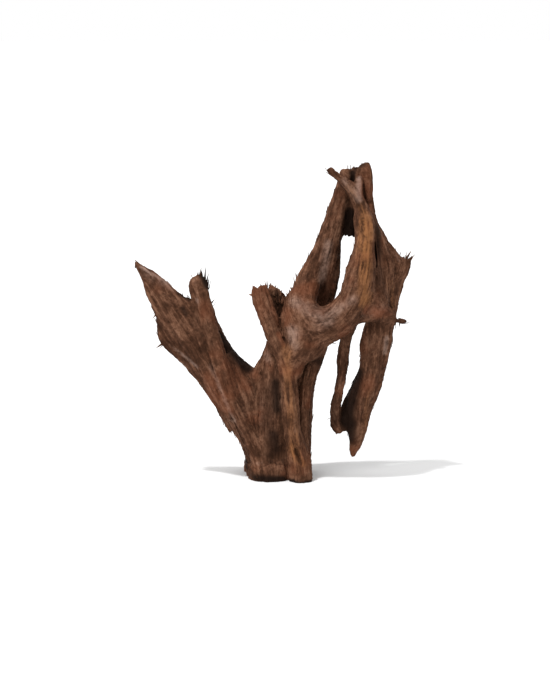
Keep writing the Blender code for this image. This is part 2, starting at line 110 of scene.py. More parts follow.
def strand(stations, ridges=5, torn=""):
    # stations: x, y, z, half width and half depth in millimetres; torn: which ends are broken off
    return {"stations": np.array(stations, float) * mm, "ridges": ridges, "torn": torn}


def trunk():
    return [
        strand([
            (3, 0, -12, 33, 31), (3, 0, 14, 32, 29), (5, 0, 45, 30, 25), (9, 2, 76, 27, 24),
            (13, 3, 108, 24, 23), (18, 4, 140, 22, 21), (23, 4, 169, 21, 19), (29, 2, 198, 19, 16),
        ], 11),
        strand([  # the rib that runs down the front to the foot
            (-24, -21, 240, 10, 7), (-22, -22, 231, 12, 8), (-18, -24, 217, 12, 9),
            (-13, -25, 203, 12, 10), (-7, -27, 185, 11, 10), (0, -29, 165, 10, 10),
            (8, -30, 142, 11, 10), (13, -29, 115, 11, 11), (15, -29, 87, 11, 11), (17, -29, 61, 11, 12),
            (22, -30, 39, 13, 13), (26, -31, 18, 15, 14), (28, -33, -12, 15, 15),
        ], 5, "first"),
        strand([
            (32, -8, -12, 9, 19), (32, -8, 18, 9, 19), (32, -8, 46, 9, 19), (32, -7, 78, 9, 18),
            (33, -5, 104, 10, 18), (37, -3, 127, 11, 17), (42, 0, 147, 13, 16), (49, 2, 167, 13, 15),
            (54, 4, 191, 12, 13),
        ], 7),
        strand([
            (-16, -18, -12, 12, 13), (-19, -18, 20, 12, 13), (-19, -16, 48, 12, 13),
            (-18, -15, 76, 12, 13), (-16, -13, 105, 12, 13), (-16, -10, 130, 12, 13),
            (-10, -6, 155, 11, 12), (-3, -2, 175, 11, 11), (2, 2, 200, 11, 10),
        ], 6),
        strand([  # the collar above the saw cut
            (-9, -16, -12, 25, 22), (-11, -17, 5, 26, 22), (-12, -16, 15, 24, 20), (-13, -14, 24, 15, 12),
        ], 9),
        strand([(-32, 20, -12, 10, 15), (-32, 18, 6, 10, 15), (-31, 13, 18, 7, 13)]),
        strand([  # the flat face between the front rib and the arm
            (-10, -16, 20, 20, 12), (-9, -17, 50, 20, 12), (-8, -17, 90, 19, 12), (-7, -16, 125, 17, 11),
            (-6, -14, 150, 12, 9),
        ]),
        strand([
            (-30, -14, 30, 14, 12), (-36, -13, 60, 15, 12), (-42, -11, 90, 14, 12),
            (-46, -8, 115, 12, 10),
        ]),
        strand([
            (1, 30, -12, 16, 13), (4, 29, 18, 16, 13), (5, 26, 51, 16, 12), (9, 22, 91, 16, 12),
            (17, 22, 130, 16, 12), (27, 23, 168, 16, 12), (35, 23, 201, 16, 11), (44, 22, 230, 15, 9),
            (53, 20, 258, 12, 7), (60, 17, 284, 9, 6),
        ]),
        strand([
            (26, 22, -12, 15, 14), (26, 21, 20, 15, 13), (27, 20, 60, 15, 13), (31, 19, 99, 14, 12),
            (38, 18, 131, 13, 11), (46, 17, 157, 11, 10), (54, 16, 183, 10, 9),
        ]),
    ]


def leftArm():
    return [
        strand([
            (-28, 14, -12, 12, 17), (-28, 12, 13, 13, 17), (-32, 8, 36, 13, 16), (-44, 4, 60, 12, 14),
            (-58, 0, 83, 12, 13), (-69, -3, 101, 13, 12), (-82, -5, 118, 14, 12), (-97, -6, 136, 14, 11),
            (-112, -6, 153, 14, 10), (-133, -5, 173, 15, 9), (-141, -4, 186, 12, 8),
            (-146, -3, 203, 9, 6),
        ]),
        strand([  # the plank that ends in a point
            (-178, -8, 272, 2, 2), (-169, -8, 261.5, 7, 4), (-159, -8, 250, 13, 6),
            (-146, -8, 231, 19, 8), (-130, -8, 209, 25, 10), (-116, -9, 187, 27, 11),
            (-101, -10, 163, 24, 12), (-85, -10, 136, 22, 13), (-68, -9, 107, 20, 14),
            (-51, -8, 77, 18, 15), (-36, -6, 49, 15, 16), (-25, -4, 17, 16, 18), (-21, -4, -12, 16, 20),
        ], 10),
        strand([  # a flap of bark
            (-88, -4, 116, 7, 6), (-79, -4, 98, 6, 6), (-71.5, -3, 82, 5.5, 5), (-66.5, -2, 70, 4.5, 4),
            (-63, -2, 60, 3.4, 3), (-61, -2, 54, 2.2, 2),
        ], 3),
        strand([
            (-148, -13, 226, 5, 5), (-136, -15, 208, 8, 7), (-122, -17, 187, 9, 8),
            (-107, -18, 164, 9, 8), (-90, -19, 137, 9, 9), (-72, -20, 106, 8, 9), (-56, -20, 76, 8, 8),
        ], 4),
        strand([
            (-120, -6, 224, 10, 7), (-108, -8, 202, 14, 9), (-96, -9, 177, 14, 10),
            (-84, -10, 151, 14, 11), (-72, -11, 122, 14, 12), (-58, -12, 96, 13, 12),
            (-46, -12, 66, 12, 12), (-34, -12, 40, 12, 12),
        ]),
        strand([  # the ridge that ends in the torn prong
            (-105, -6, 253, 6, 4), (-102, -7, 248, 11, 7), (-100, -8, 243, 12, 9), (-96, -11, 225, 12, 10),
            (-90, -14, 203, 11, 11), (-83, -16, 180, 11, 11), (-76, -18, 158, 11, 12),
            (-68, -20, 133, 11, 12), (-60, -21, 107, 11, 12), (-49, -22, 80, 11, 12),
            (-37, -23, 52, 11, 12), (-26, -24, 25, 11, 12), (-20, -24, -12, 12, 12),
        ], 5),
        strand([
            (-95, 2, 230, 6, 7), (-91, 3, 212, 9, 9), (-86, 5, 190, 11, 10), (-76, 6, 169, 11, 12),
            (-64, 8, 151, 11, 14), (-54, 9, 138, 12, 15), (-42, 8, 127, 14, 16), (-31, 7, 110, 15, 17),
            (-25, 5, 89, 15, 17), (-23, 3, 57, 15, 17),
        ], 7),
        strand([
            (-66, -4, 156, 11, 10), (-52, -7, 126, 14, 12), (-41, -8, 100, 16, 14),
            (-33, -8, 72, 15, 14), (-27, -8, 40, 14, 14), (-22, -8, 8, 12, 12),
        ], 7),
        strand([
            (-22, 24, -12, 16, 15), (-26, 22, 20, 16, 14), (-39, 18, 53, 16, 13), (-56, 12, 87, 15, 12),
            (-77, 7, 120, 15, 11), (-98, 4, 150, 15, 10), (-117, 3, 178, 14, 8), (-130, 1, 200, 11, 6),
        ], 7),
    ]


def stubAndKnuckle():
    return [
        strand([
            (-20, -2, 107, 15, 16), (-19, -1, 131, 14, 16), (-10, 0, 147, 14, 16), (-2, 2, 163, 13, 15),
            (4, 4, 185, 13, 14), (11, 6, 207, 13, 13), (22, 8, 226, 12, 11),
        ]),
        strand([  # the hollow wall of the broken stub
            (4, 4, 165, 13, 12), (-3, 2, 188, 15, 10), (-5, 0, 210, 18, 8), (-8, -1, 225, 17, 6),
            (-15, -2, 237, 9, 5),
        ], 5, "last"),
        strand([
            (14, -28, 138, 8, 8), (17, -30, 150, 12, 10), (22, -31, 160, 19, 12), (29, -32, 169, 26, 14),
            (33, -33, 181, 31, 16), (32, -32, 199, 28, 17), (28, -29, 217, 23, 16),
            (27, -21, 231, 17, 12), (29, -9, 241, 10, 8),
        ], 12),
        strand([
            (27, -26, 206, 17, 14), (30, -18, 226, 18, 13), (36, -8, 245, 17, 11), (43, 4, 264, 14, 9),
            (49, 13, 282, 10, 8),
        ], 7),
        strand([  # the flank between the stub and the knuckle
            (7, -17, 150, 10, 10), (8, -18, 175, 10, 10), (9, -17, 198, 9, 10), (12, -13, 216, 8, 8),
            (16, -8, 232, 6, 6),
        ], 5),
    ]


def loopLimb():
    return [
        strand([
            (26, -30, 198, 20, 16), (42, -34, 194, 24, 17), (58, -36, 197, 24, 17),
            (75, -37, 209, 22, 16), (88, -37, 226, 19, 15), (95, -36, 245, 19, 14),
            (99, -31, 265, 18, 13), (103, -25, 286, 14, 12), (105, -19, 305, 13, 11),
            (104, -14, 322, 13, 10), (101, -11, 338, 10, 8), (95, -10, 353, 9.5, 7),
            (88, -10, 363, 9, 6), (80, -10, 371, 7, 5.5), (72, -11, 377, 5.2, 5), (66, -12, 382, 5, 4.5),
            (62, -12, 386, 5.6, 4), (60, -12, 389, 3.6, 3),
        ], 8),
        strand([
            (105, -12, 325, 8, 7), (103, -9, 344, 7, 6), (100, -7, 359, 7, 5), (98, -6, 369, 6.5, 5),
            (97, -6, 378, 4.6, 4),
        ], 4),
        strand([
            (109, -13, 316, 7, 8), (110, -19, 295, 8, 9), (109, -26, 271, 10, 10),
            (108, -30, 246, 10, 11), (103, -30, 231, 11, 12), (94, -30, 213, 11, 12),
            (84, -31, 198, 11, 12), (69, -31, 188, 11, 12), (51, -30, 178, 12, 12),
            (36, -28, 164, 11, 11), (25, -26, 148, 10, 10), (18, -24, 130, 9, 9),
        ]),
        strand([
            (30, -34, 212, 14, 12), (44, -37, 205, 15, 12), (58, -39, 203, 14, 12),
            (72, -41, 213, 13, 12), (84, -42, 229, 11, 11), (91, -41, 247, 10, 10),
        ]),
    ]


def tallLeg():
    return [
        strand([
            (34, 6, 191, 21, 15), (39, 10, 215, 24, 15), (46, 13, 240, 24, 14), (52, 13, 260, 21, 13),
            (58, 12, 280, 19, 12), (63, 10, 300, 16, 11), (68, 8, 320, 14, 10), (73, 6, 340, 12, 9),
            (77, 4, 357, 10, 8), (81, 2, 372, 9.5, 8), (83, 1, 382, 9, 7), (83, 1, 386, 7, 6),
        ], 7),
        strand([
            (74, 16, 293, 4, 4), (72, 16, 272, 6, 6), (69, 15, 249, 7, 7), (64, 14, 227, 7, 8),
            (58, 12, 211, 6, 8),
        ], 4),
    ]


def rightBranch():
    return [
        strand([  # the web under the summit
            (97, 4, 384, 8, 7), (91, 7, 370, 11, 9), (88, 12, 347, 11, 9), (87, 15, 324, 11, 7),
            (86, 16, 304, 10, 6),
        ], 5, "both"),
        strand([
            (103, 6, 392.5, 5.5, 5), (105, 6, 388, 9, 8), (106, 6, 377, 10.5, 9),
            (105, 7, 352, 11.5, 10), (107, 8, 331, 13, 11), (110, 9, 316, 14.5, 12),
            (115, 10, 301, 17, 12), (121, 10, 286, 19, 12), (131, 10, 265, 25, 12),
            (132, 9, 245, 25, 12), (130, 8, 228, 22, 12), (129, 7, 209, 20, 12), (128, 6, 191, 20, 12),
        ], 9),
        strand([
            (136, 8, 243, 14, 10), (146, 8, 257, 16, 9), (150, 8, 267, 15, 8), (152, 8, 276, 14, 7),
        ], 7),
        strand([(130, 8, 256, 12, 8), (140, 8, 266, 13, 8), (146, 8, 275, 11, 7)]),
        strand([
            (109, 0, 342, 6, 7), (114, -1, 317, 8, 8), (123, -2, 292, 10, 8), (130, -3, 268, 12, 8),
            (130, -4, 243, 12, 8), (128, -5, 222, 11, 9),
        ]),
        strand([
            (112, 17, 327, 7, 6), (119, 20, 289, 11, 7), (132, 21, 258, 13, 8), (132, 20, 226, 12, 8),
            (127, 19, 195, 12, 8), (121, 19, 163, 12, 8), (114, 20, 131, 11, 8),
        ]),
        strand([  # the crossbar and its spur
            (93, -24, 207, 11, 10), (108, -18, 210, 14, 11), (121, -12, 210, 14, 10),
            (131, -6, 207, 12, 10), (139, -4, 202, 7, 7), (144, -3, 198, 3.2, 3.2), (148, -3, 197, 3, 3),
            (152, -3, 197, 5, 4.5), (156, -3, 197, 4.4, 4), (160, -3, 197.5, 1.5, 1.5),
        ]),
        strand([  # fills the corner over the crossbar
            (112, -10, 250, 10, 9), (118, -13, 232, 16, 10), (120, -14, 218, 18, 11), (120, -13, 206, 14, 9),
        ]),
        strand([
            (106, -30, 262, 8, 8), (107, -29, 244, 9, 9), (112, -24, 228, 11, 10),
            (122, -17, 218, 11, 9), (134, -10, 212, 9, 8),
        ]),
        strand([
            (111, -8, 306, 8, 8), (113, -12, 282, 10, 10), (115, -13, 256, 12, 11),
            (117, -12, 232, 13, 11), (119, -3, 208, 12, 9), (120, 7, 190, 9, 6),
        ], 6),
    ]


def hangingBranch():
    return [
        strand([
            (128, 6, 200, 19, 12), (121, 7, 165, 21.5, 12), (118, 9, 139, 18, 12),
            (112, 11, 113, 18, 12), (104, 12, 94, 19, 11), (100, 12, 74, 16, 10), (99, 12, 55, 13, 9),
            (98, 12, 38, 9, 6), (95, 12, 28, 6, 4), (94, 12, 20, 2.5, 2),
        ], 8),
        strand([
            (124, -5, 196, 8, 6), (119, -3, 163, 9, 6), (115, -1, 134, 9, 6), (108, 1, 106, 8, 6),
            (104, 3, 80, 7, 6),
        ], 4),
        strand([(107, 18, 128, 8, 8), (99, 21, 107, 9, 8), (89, 21, 86, 9, 8), (84, 20, 68, 9, 7)]),
        strand([  # the thin strip
            (95, 4, 204, 7, 8), (89, 6, 187, 8, 7), (83, 8, 169, 8, 6.5), (80, 9, 148, 8, 6.5),
            (79, 10, 129, 7, 6), (76, 10, 109, 6.5, 6), (73, 10, 91, 6.5, 6), (72, 11, 76, 8, 7),
            (73, 11, 63, 8, 7), (76, 11, 54, 6, 5),
        ], 4, "last"),
        strand([(72, 12, 66, 11, 6), (82, 16, 67, 15, 6), (95, 14, 70, 15, 8)]),
    ]


backFrom = 20

# cracks and hollows: x, y, z, half width and half depth of the spindles that are hollowed out, in
# millimetres; those whose first y is above backFrom open to the back
cracks = [
    [(-3, -14, 246, 5, 10), (-2, -20, 232, 4.5, 11), (-1, -25, 216, 2.2, 8), (0, -30, 194, 1, 4)],
    [(27, -42, 136, 1, 2), (27, -40, 124, 1.6, 5), (27, -39, 108, 1.6, 5), (28, -42, 96, 1, 2)],
    [(19, -47, 46, 1, 3), (22, -45, 38, 3.4, 8), (26, -46, 28, 3.0, 7), (29, -48, 20, 1, 3)],
    [(-5, -32, 120, 1, 2), (-3, -32, 104, 1.6, 3), (-3, -32, 88, 1.6, 3), (-2, -34, 70, 1, 2)],
    [(-112, -24, 208, 1, 3), (-105, -23, 186, 1.8, 4), (-98, -24, 166, 1.8, 4), (-88, -30, 142, 1, 3)],
    [(-66, -36, 94, 1, 4), (-58, -31, 76, 2.6, 8), (-48, -31, 56, 2.4, 8), (-38, -38, 36, 1, 4)],
    [(103, -12, 378, 1.6, 8), (105, -8, 358, 2.6, 8), (109, -6, 336, 2.2, 6), (113, -10, 318, 1, 4)],
    [(118, -18, 296, 1, 5), (119, -14, 270, 2.6, 8), (119, -14, 248, 2.6, 8), (118, -20, 236, 1, 5)],
    [(14, 46, 170, 1, 4), (12, 42, 130, 2.8, 9), (10, 43, 92, 2.8, 9), (12, 47, 58, 1, 4)],
    [(-44, 2, 22, 1, 2), (-44, 0, 17, 3, 5), (-43, 0, 11, 1, 2)],
    [(-30, 40, 76, 1, 4), (-22, 38, 50, 2.8, 9), (-14, 38, 24, 2.8, 9), (-12, 42, 2, 1.4, 5)],
]


def unit(vectors):
    return vectors / np.maximum(np.linalg.norm(vectors, axis=-1, keepdims=True), 1e-9)


def ringsAlong(stations, step):
    # one row a ring, on a curve through every station
    places = []
    for span in range(len(stations) - 1):
        count = max(2, round(np.linalg.norm(stations[span + 1, :3] - stations[span, :3]) / step))
        places += [span + i / count for i in range(count + (span == len(stations) - 2))]
    places = np.array(places)
    span = np.minimum(places.astype(int), len(stations) - 2)
    t = (places - span)[:, None]
    a, b, c, d = (stations[np.clip(span + k, 0, len(stations) - 1)] for k in (-1, 0, 1, 2))
    return 0.5 * (2 * b + (c - a) * t + (2 * a - 5 * b + 4 * c - d) * t**2 + (3 * b - a - 3 * c + d) * t**3)


def ringFrames(rings):
    centres = rings[:, :3]
    padded = np.vstack((centres[:1], centres, centres[-1:]))
    tangents = unit(padded[2:] - padded[:-2])
    across = unit(np.cross(tangents, front))
    return centres, tangents, across, np.cross(across, tangents)


def loft(one, draw):
    # the points and faces of one strand, with flutes along it and teeth round its torn ends
    sides = growth["ringSides"]
    rings = ringsAlong(one["stations"], growth["ringStep"])
    centres, tangents, across, outward = ringFrames(rings)
    phase, toothPhase = draw.uniform(0, math.pi), draw.uniform(0, math.pi)
    run = np.concatenate(([0.0], np.cumsum(np.linalg.norm(np.diff(centres, axis=0), axis=1))))[:, None]
    angle = 2 * math.pi * np.arange(sides)[None, :] / sides
    sway = growth["wander"] * np.sin(growth["wanderRate"] * run + phase)
    ridge = np.abs(np.cos(0.5 * one["ridges"] * (angle + growth["twist"] * run + sway) + phase))
    fade = growth["grooveChange"] * (1 - np.sin(2 * angle + growth["wanderRate"] * run + toothPhase))
    swell = growth["swell"] - growth["grooveDepth"] * (1 - fade) * (1 - ridge)
    wide = (swell * rings[:, 3:4] * np.cos(angle))[..., None] * across[:, None]
    deep = (swell * rings[:, 4:5] * np.sin(angle))[..., None] * outward[:, None]
    points = centres[:, None] + wide + deep
    hubs = []
    for end, away in ((0, -tangents[0]), (-1, tangents[-1])):
        hub = centres[end].copy()
        if one["torn"] in ("both", "first" if end == 0 else "last"):
            halfWidth = rings[end, 3]
            jitter = np.array([
                draw.uniform(-growth["toothJitter"], growth["toothJitter"])
                for _ in range(growth["jittersPerRing"])
            ])
            tooth = np.abs(np.cos(0.5 * growth["teeth"] * angle[0] + toothPhase))
            tooth = tooth + jitter[np.arange(sides) * growth["jittersPerRing"] // sides]
            points[end] += away * (tooth * growth["toothLength"] * halfWidth)[:, None]
            hub -= away * growth["hollowDepth"] * halfWidth
        hubs.append(hub)
    count = len(rings)
    lower = np.arange(count - 1)[:, None] * sides + np.arange(sides)[None, :]
    other = np.arange(count - 1)[:, None] * sides + (np.arange(sides)[None, :] + 1) % sides
    quads = np.stack((lower, other, other + sides, lower + sides), -1).reshape(-1, 4).tolist()
    for end, start in enumerate((0, (count - 1) * sides)):
        hubIndex = count * sides + end
        quads += [[start + i, start + (i + 1) % sides, hubIndex] for i in range(sides)]
    return np.vstack((points.reshape(-1, 3), hubs)), quads


def meshObject(name, points, faces=()):
    mesh = bpy.data.meshes.new(name)
    mesh.from_pydata(np.asarray(points).tolist(), [], list(faces))
    made = bpy.data.objects.new(name, mesh)
    bpy.context.scene.collection.objects.link(made)
    return made


def makePlain(thing):
    # the mesh that the modifiers make takes the place of the object's own
    graph = bpy.context.evaluated_depsgraph_get()
    mesh = bpy.data.meshes.new_from_object(thing.evaluated_get(graph))
    thing.modifiers.clear()
    thing.data = mesh


def keepLargest(mesh):
    bm = bmesh.new()
    bm.from_mesh(mesh)
    islands = []
    unseen = set(bm.verts)
    while unseen:
        island = [unseen.pop()]
        for vert in island:
            near = {edge.other_vert(vert) for edge in vert.link_edges} & unseen
            unseen -= near
            island.extend(near)
        islands.append(island)
    islands.sort(key=len)
    for island in islands[:-1]:
        bmesh.ops.delete(bm, geom=island, context="VERTS")
    bm.to_mesh(mesh)
    bm.free()


def growTogether(strands, draw):
    points, faces, start = [], [], 0
    for one in strands:
        made, quads = loft(one, draw)
        points.append(made)
        faces += [[start + i for i in face] for face in quads]
        start += len(made)
    body = meshObject("driftwood_skin", np.vstack(points), faces)
    join = body.modifiers.new("growTogether", "REMESH")
    join.mode = "VOXEL"
    join.voxel_size = growth["grid"]
    soften = body.modifiers.new("soften", "SMOOTH")
    soften.factor = 0.5
    soften.iterations = growth["smoothing"]
    makePlain(body)
    keepLargest(body.data)
    return body


def rowsOf(things, name, width=3, kind=float):
    # one row of values for each point or edge
    flat = np.empty(width * len(things), kind)
    things.foreach_get(name, flat)
    return flat.reshape(-1, width)


def pointsOf(mesh):
    return rowsOf(mesh.vertices, "co")


def normalsOf(mesh):
    return rowsOf(mesh.vertex_normals, "vector")


def edgesOf(mesh):
    return rowsOf(mesh.edges, "vertices", 2, np.int32)


def treeOf(points):
    # finds the points nearest to a place
    tree = KDTree(len(points))
    for i, point in enumerate(points.tolist()):
        tree.insert(point, i)
    tree.balance()
    return tree


def setPoints(mesh, points):
    mesh.vertices.foreach_set("co", points.ravel())
    mesh.update()


def spread(values, edges, rounds):
    # each round moves every value halfway to the mean of its neighbours
    values = np.array(values, float)
    columns = values.reshape(len(values), -1)
    a, b = edges[:, 0], edges[:, 1]
    count = np.maximum(np.bincount(np.r_[a, b], minlength=len(values)), 1)
    for _ in range(rounds):
        for column in columns.T:
            near = np.bincount(a, column[b], len(values)) + np.bincount(b, column[a], len(values))
            column += 0.5 * (near / count - column)
    return values


def nearestRing(points, stations, step, reach):
    # for the points near a strand: their indices, their offset across, outward and along in its own
    # sizes, and its direction, outward direction and half depth there
    rings = ringsAlong(stations, step)
    centres, tangents, across, outward = ringFrames(rings)
    low, high = centres.min(0) - reach, centres.max(0) + reach
    near = np.flatnonzero(((points > low) & (points < high)).all(1))
    if not len(near):
        return [near] + [None] * 6
    here = points[near]
    far = (here**2).sum(1)[:, None] - 2 * here @ centres.T + (centres**2).sum(1)[None]
    ring = far.argmin(1)
    off = here - centres[ring]
    u = (off * across[ring]).sum(1) / rings[ring, 3]
    v = (off * outward[ring]).sum(1) / rings[ring, 4]
    w = (off * tangents[ring]).sum(1) / rings[ring, 3]
    return near, u, v, w, tangents[ring], outward[ring], rings[ring, 4]


def hollowOut(mesh):
    # points inside a crack's spindle move back to its far wall
    points = pointsOf(mesh)
    for stations in cracks:
        spindle = np.array(stations, float) * mm
        near, u, v, w, _, outward, depth = nearestRing(points, spindle, 1.5 * mm, 14 * mm)
        if not len(near):
            continue
        inside = (np.hypot(u, v) < 1) & (np.abs(w) < 1.5)
        facing = -1 if stations[0][1] > backFrom else 1
        push = facing * depth * (facing * v + np.sqrt(np.clip(1 - u**2, 0, 1)))
        points[near[inside]] -= (outward * push[:, None])[inside]
    setPoints(mesh, points)


def grainDirections(points, strands):
    # the way the fibres run: the nearest strands' own direction, whichever sense it has
    tensor = np.zeros((len(points), 3, 3))
    best = np.zeros(len(points))
    way = np.tile((0.0, 0.0, 1.0), (len(points), 1))
    for one in strands:
        reach = 1.6 * one["stations"][:, 3:].max() + 3 * mm
        near, u, v, w, tangent, _, _ = nearestRing(points, one["stations"], 3 * mm, reach)
        if not len(near):
            continue
        far = np.sqrt(u**2 + v**2 + np.maximum(np.abs(w) - 0.3, 0) ** 2)
        weight = np.exp(-7 * np.maximum(far - 0.75, 0))
        tensor[near] += weight[:, None, None] * tangent[:, :, None] * tangent[:, None, :]
        better = weight > best[near]
        way[near[better]] = tangent[better]
        best[near[better]] = weight[better]
    for _ in range(8):
        way = unit(np.einsum("nij,nj->ni", tensor, way) + 1e-6 * way)
    return way


def grainSteps(points, way, step):
    # where one step along the grain lands, both ways: the three nearest points and their shares
    tree = treeOf(points)
    steps = []
    for sign in (1, -1):
        index = np.empty((len(points), 3), np.int64)
        share = np.empty((len(points), 3))
        for i, target in enumerate((points + sign * step * way).tolist()):
            for k, (_, found, distance) in enumerate(tree.find_n(target, 3)):
                index[i, k] = found
                share[i, k] = distance
        share = 1 / (share + 1e-5) ** 2
        steps.append((index, share / share.sum(1, keepdims=True)))
    return steps


def drawOut(values, steps, rounds):
    # streaks: values are mixed with those ahead and behind along the grain
    for _ in range(rounds):
        ahead, behind = ((values[index] * share[..., None]).sum(1) for index, share in steps)
        values = 0.5 * values + 0.25 * (ahead + behind)
    return values


def evened(values):
    return (values - values.mean(0)) / values.std(0)


def store(mesh, name, values):
    values = np.asarray(values, float)
    kind = "FLOAT" if values.ndim == 1 else "FLOAT_VECTOR"
    made = mesh.attributes.new(name, kind, "POINT")
    made.data.foreach_set("value" if values.ndim == 1 else "vector", values.ravel())


def stored(mesh, name):
    attribute = mesh.attributes[name]
    if attribute.data_type == "FLOAT":
        return rowsOf(attribute.data, "value", 1)[:, 0]
    return rowsOf(attribute.data, "vector")


# a node's output, wrapped so that node maths reads as Python
class Socket:
    def __init__(self, graph, socket):
        self.graph, self.socket = graph, socket

    def maths(self, operation, *others, swapped=False):
        values = [self, *others]
        if swapped:
            values.reverse()
        return self.graph.make("ShaderNodeMath", {"operation": operation}, dict(enumerate(values)))

    def __add__(self, other):
        return self.maths("ADD", other)

    def __sub__(self, other):
        return self.maths("SUBTRACT", other)

    def __rsub__(self, other):
        return self.maths("SUBTRACT", other, swapped=True)

    def __mul__(self, other):
        return self.maths("MULTIPLY", other)

    def __truediv__(self, other):
        return self.maths("DIVIDE", other)

    def __pow__(self, other):
        return self.maths("POWER", other)

    def between(self, low, high):
        # 0 below low, 1 above high, smooth in between
        return self.graph.make("ShaderNodeMapRange", {"interpolation_type": "SMOOTHSTEP"},
                               {0: self, 1: low, 2: high, 3: 0.0, 4: 1.0})

    __radd__ = __add__
    __rmul__ = __mul__


class Graph:
    def __init__(self, tree):
        self.tree = tree

    def make(self, kind, settings=None, inputs=None, output=0):
        node = self.tree.nodes.new(kind)
        for name, value in (settings or {}).items():
            setattr(node, name, value)
        for key, value in (inputs or {}).items():
            if isinstance(value, Socket):
                self.link(value, node.inputs[key])
            else:
                node.inputs[key].default_value = value
        return Socket(self, node.outputs[output])

    def vectorMaths(self, operation, a, b):
        key = 3 if operation == "SCALE" else 1
        return self.make("ShaderNodeVectorMath", {"operation": operation}, {0: a, key: b})

    def parts(self, vector):
        node = self.make("ShaderNodeSeparateXYZ", {}, {0: vector}).socket.node
        return [Socket(self, part) for part in node.outputs]

    def mixColour(self, share, a, b):
        return self.make("ShaderNodeMix", {"data_type": "RGBA"}, {0: share, 6: a, 7: b}, 2)

    def link(self, value, socket):
        self.tree.links.new(value.socket, socket)

    def attribute(self, name, output="Fac"):
        return self.make("ShaderNodeAttribute", {"attribute_name": name}, output=output)

    def noise(self, place, scale, detail=2.0, roughness=0.5):
        return self.make("ShaderNodeTexNoise", {"noise_dimensions": "3D"},
                         {"Vector": place, "Scale": scale, "Detail": detail, "Roughness": roughness})


def newTree(name, sizes, counts=()):
    # a Geometry Nodes tree whose named inputs are its sizes, its counts and its material
    tree = bpy.data.node_groups.new(name, "GeometryNodeTree")
    inputs = [("Geometry", "Geometry")] + [(label, "Float") for label in sizes]
    inputs += [(label, "Int") for label in counts] + [("wood", "Material")]
    for label, kind in inputs:
        tree.interface.new_socket(label, in_out="INPUT", socket_type="NodeSocket" + kind)
    tree.interface.new_socket("Geometry", in_out="OUTPUT", socket_type="NodeSocketGeometry")
    graph = Graph(tree)
    entry = tree.nodes.new("NodeGroupInput")
    sockets = {s.name: Socket(graph, s) for s in entry.outputs if s.name}
    return graph, sockets


def endTree(graph, geometry, material):
    # every tree ends in Realize Instances and Set Material
    real = graph.make("GeometryNodeRealizeInstances", {}, {"Geometry": geometry})
    dressed = graph.make("GeometryNodeSetMaterial", {}, {"Geometry": real, "Material": material})
    graph.link(dressed, graph.tree.nodes.new("NodeGroupOutput").inputs[0])
    return graph.tree


def applyTree(thing, tree, values):
    # each input takes the value of its own name
    modifier = thing.modifiers.new(tree.name, "NODES")
    modifier.node_group = tree
    for item in tree.interface.items_tree:
        if item.item_type == "SOCKET" and item.in_out == "INPUT" and item.name in values:
            modifier[item.identifier] = values[item.name]
    thing.data.update()
    makePlain(thing)


def named(graph, name, kind="FLOAT"):
    return graph.make("GeometryNodeInputNamedAttribute", {"data_type": kind}, {"Name": name})


def reliefTree():
    # the skin moves out on its ridges and fibres and in along its cracks; torn ends are drawn out
    graph, given = newTree("woodRelief", [
        "ridgeDepth", "fibreDepth", "crackDepth", "lumpDepth", "pitDepth", "ledgeDepth", "tornLength",
    ])
    ridge, fibre, crack = (named(graph, name) for name in ("ridge", "fibre", "crack"))
    height = ridge * given["ridgeDepth"] + fibre * given["fibreDepth"] - crack * given["crackDepth"]
    place = graph.make("GeometryNodeInputPosition")
    height = height + (graph.noise(place, grain["lumpScale"]) - 0.5) * given["lumpDepth"]
    height = height + (graph.noise(place, grain["pitScale"]) - 0.5) * given["pitDepth"]
    across, _, upward = graph.parts(place)
    level = upward + (graph.noise(place, grain["ledgeWaverScale"], 1.0) - 0.5) * grain["ledgeWaver"]
    ledge = (1 - level.between(*grain["ledgeHeights"])) * (1 - across.between(*grain["ledgeEnds"]))
    height = height + ledge * given["ledgeDepth"]
    outward = graph.vectorMaths("SCALE", graph.make("GeometryNodeInputNormal"), height)
    pull = named(graph, "pull", "FLOAT_VECTOR")
    torn = graph.vectorMaths("SCALE", pull, fibre * given["tornLength"])
    moved = graph.make("GeometryNodeSetPosition", {}, {
        "Geometry": given["Geometry"], "Offset": graph.vectorMaths("ADD", outward, torn),
    })
    return endTree(graph, moved, given["wood"])


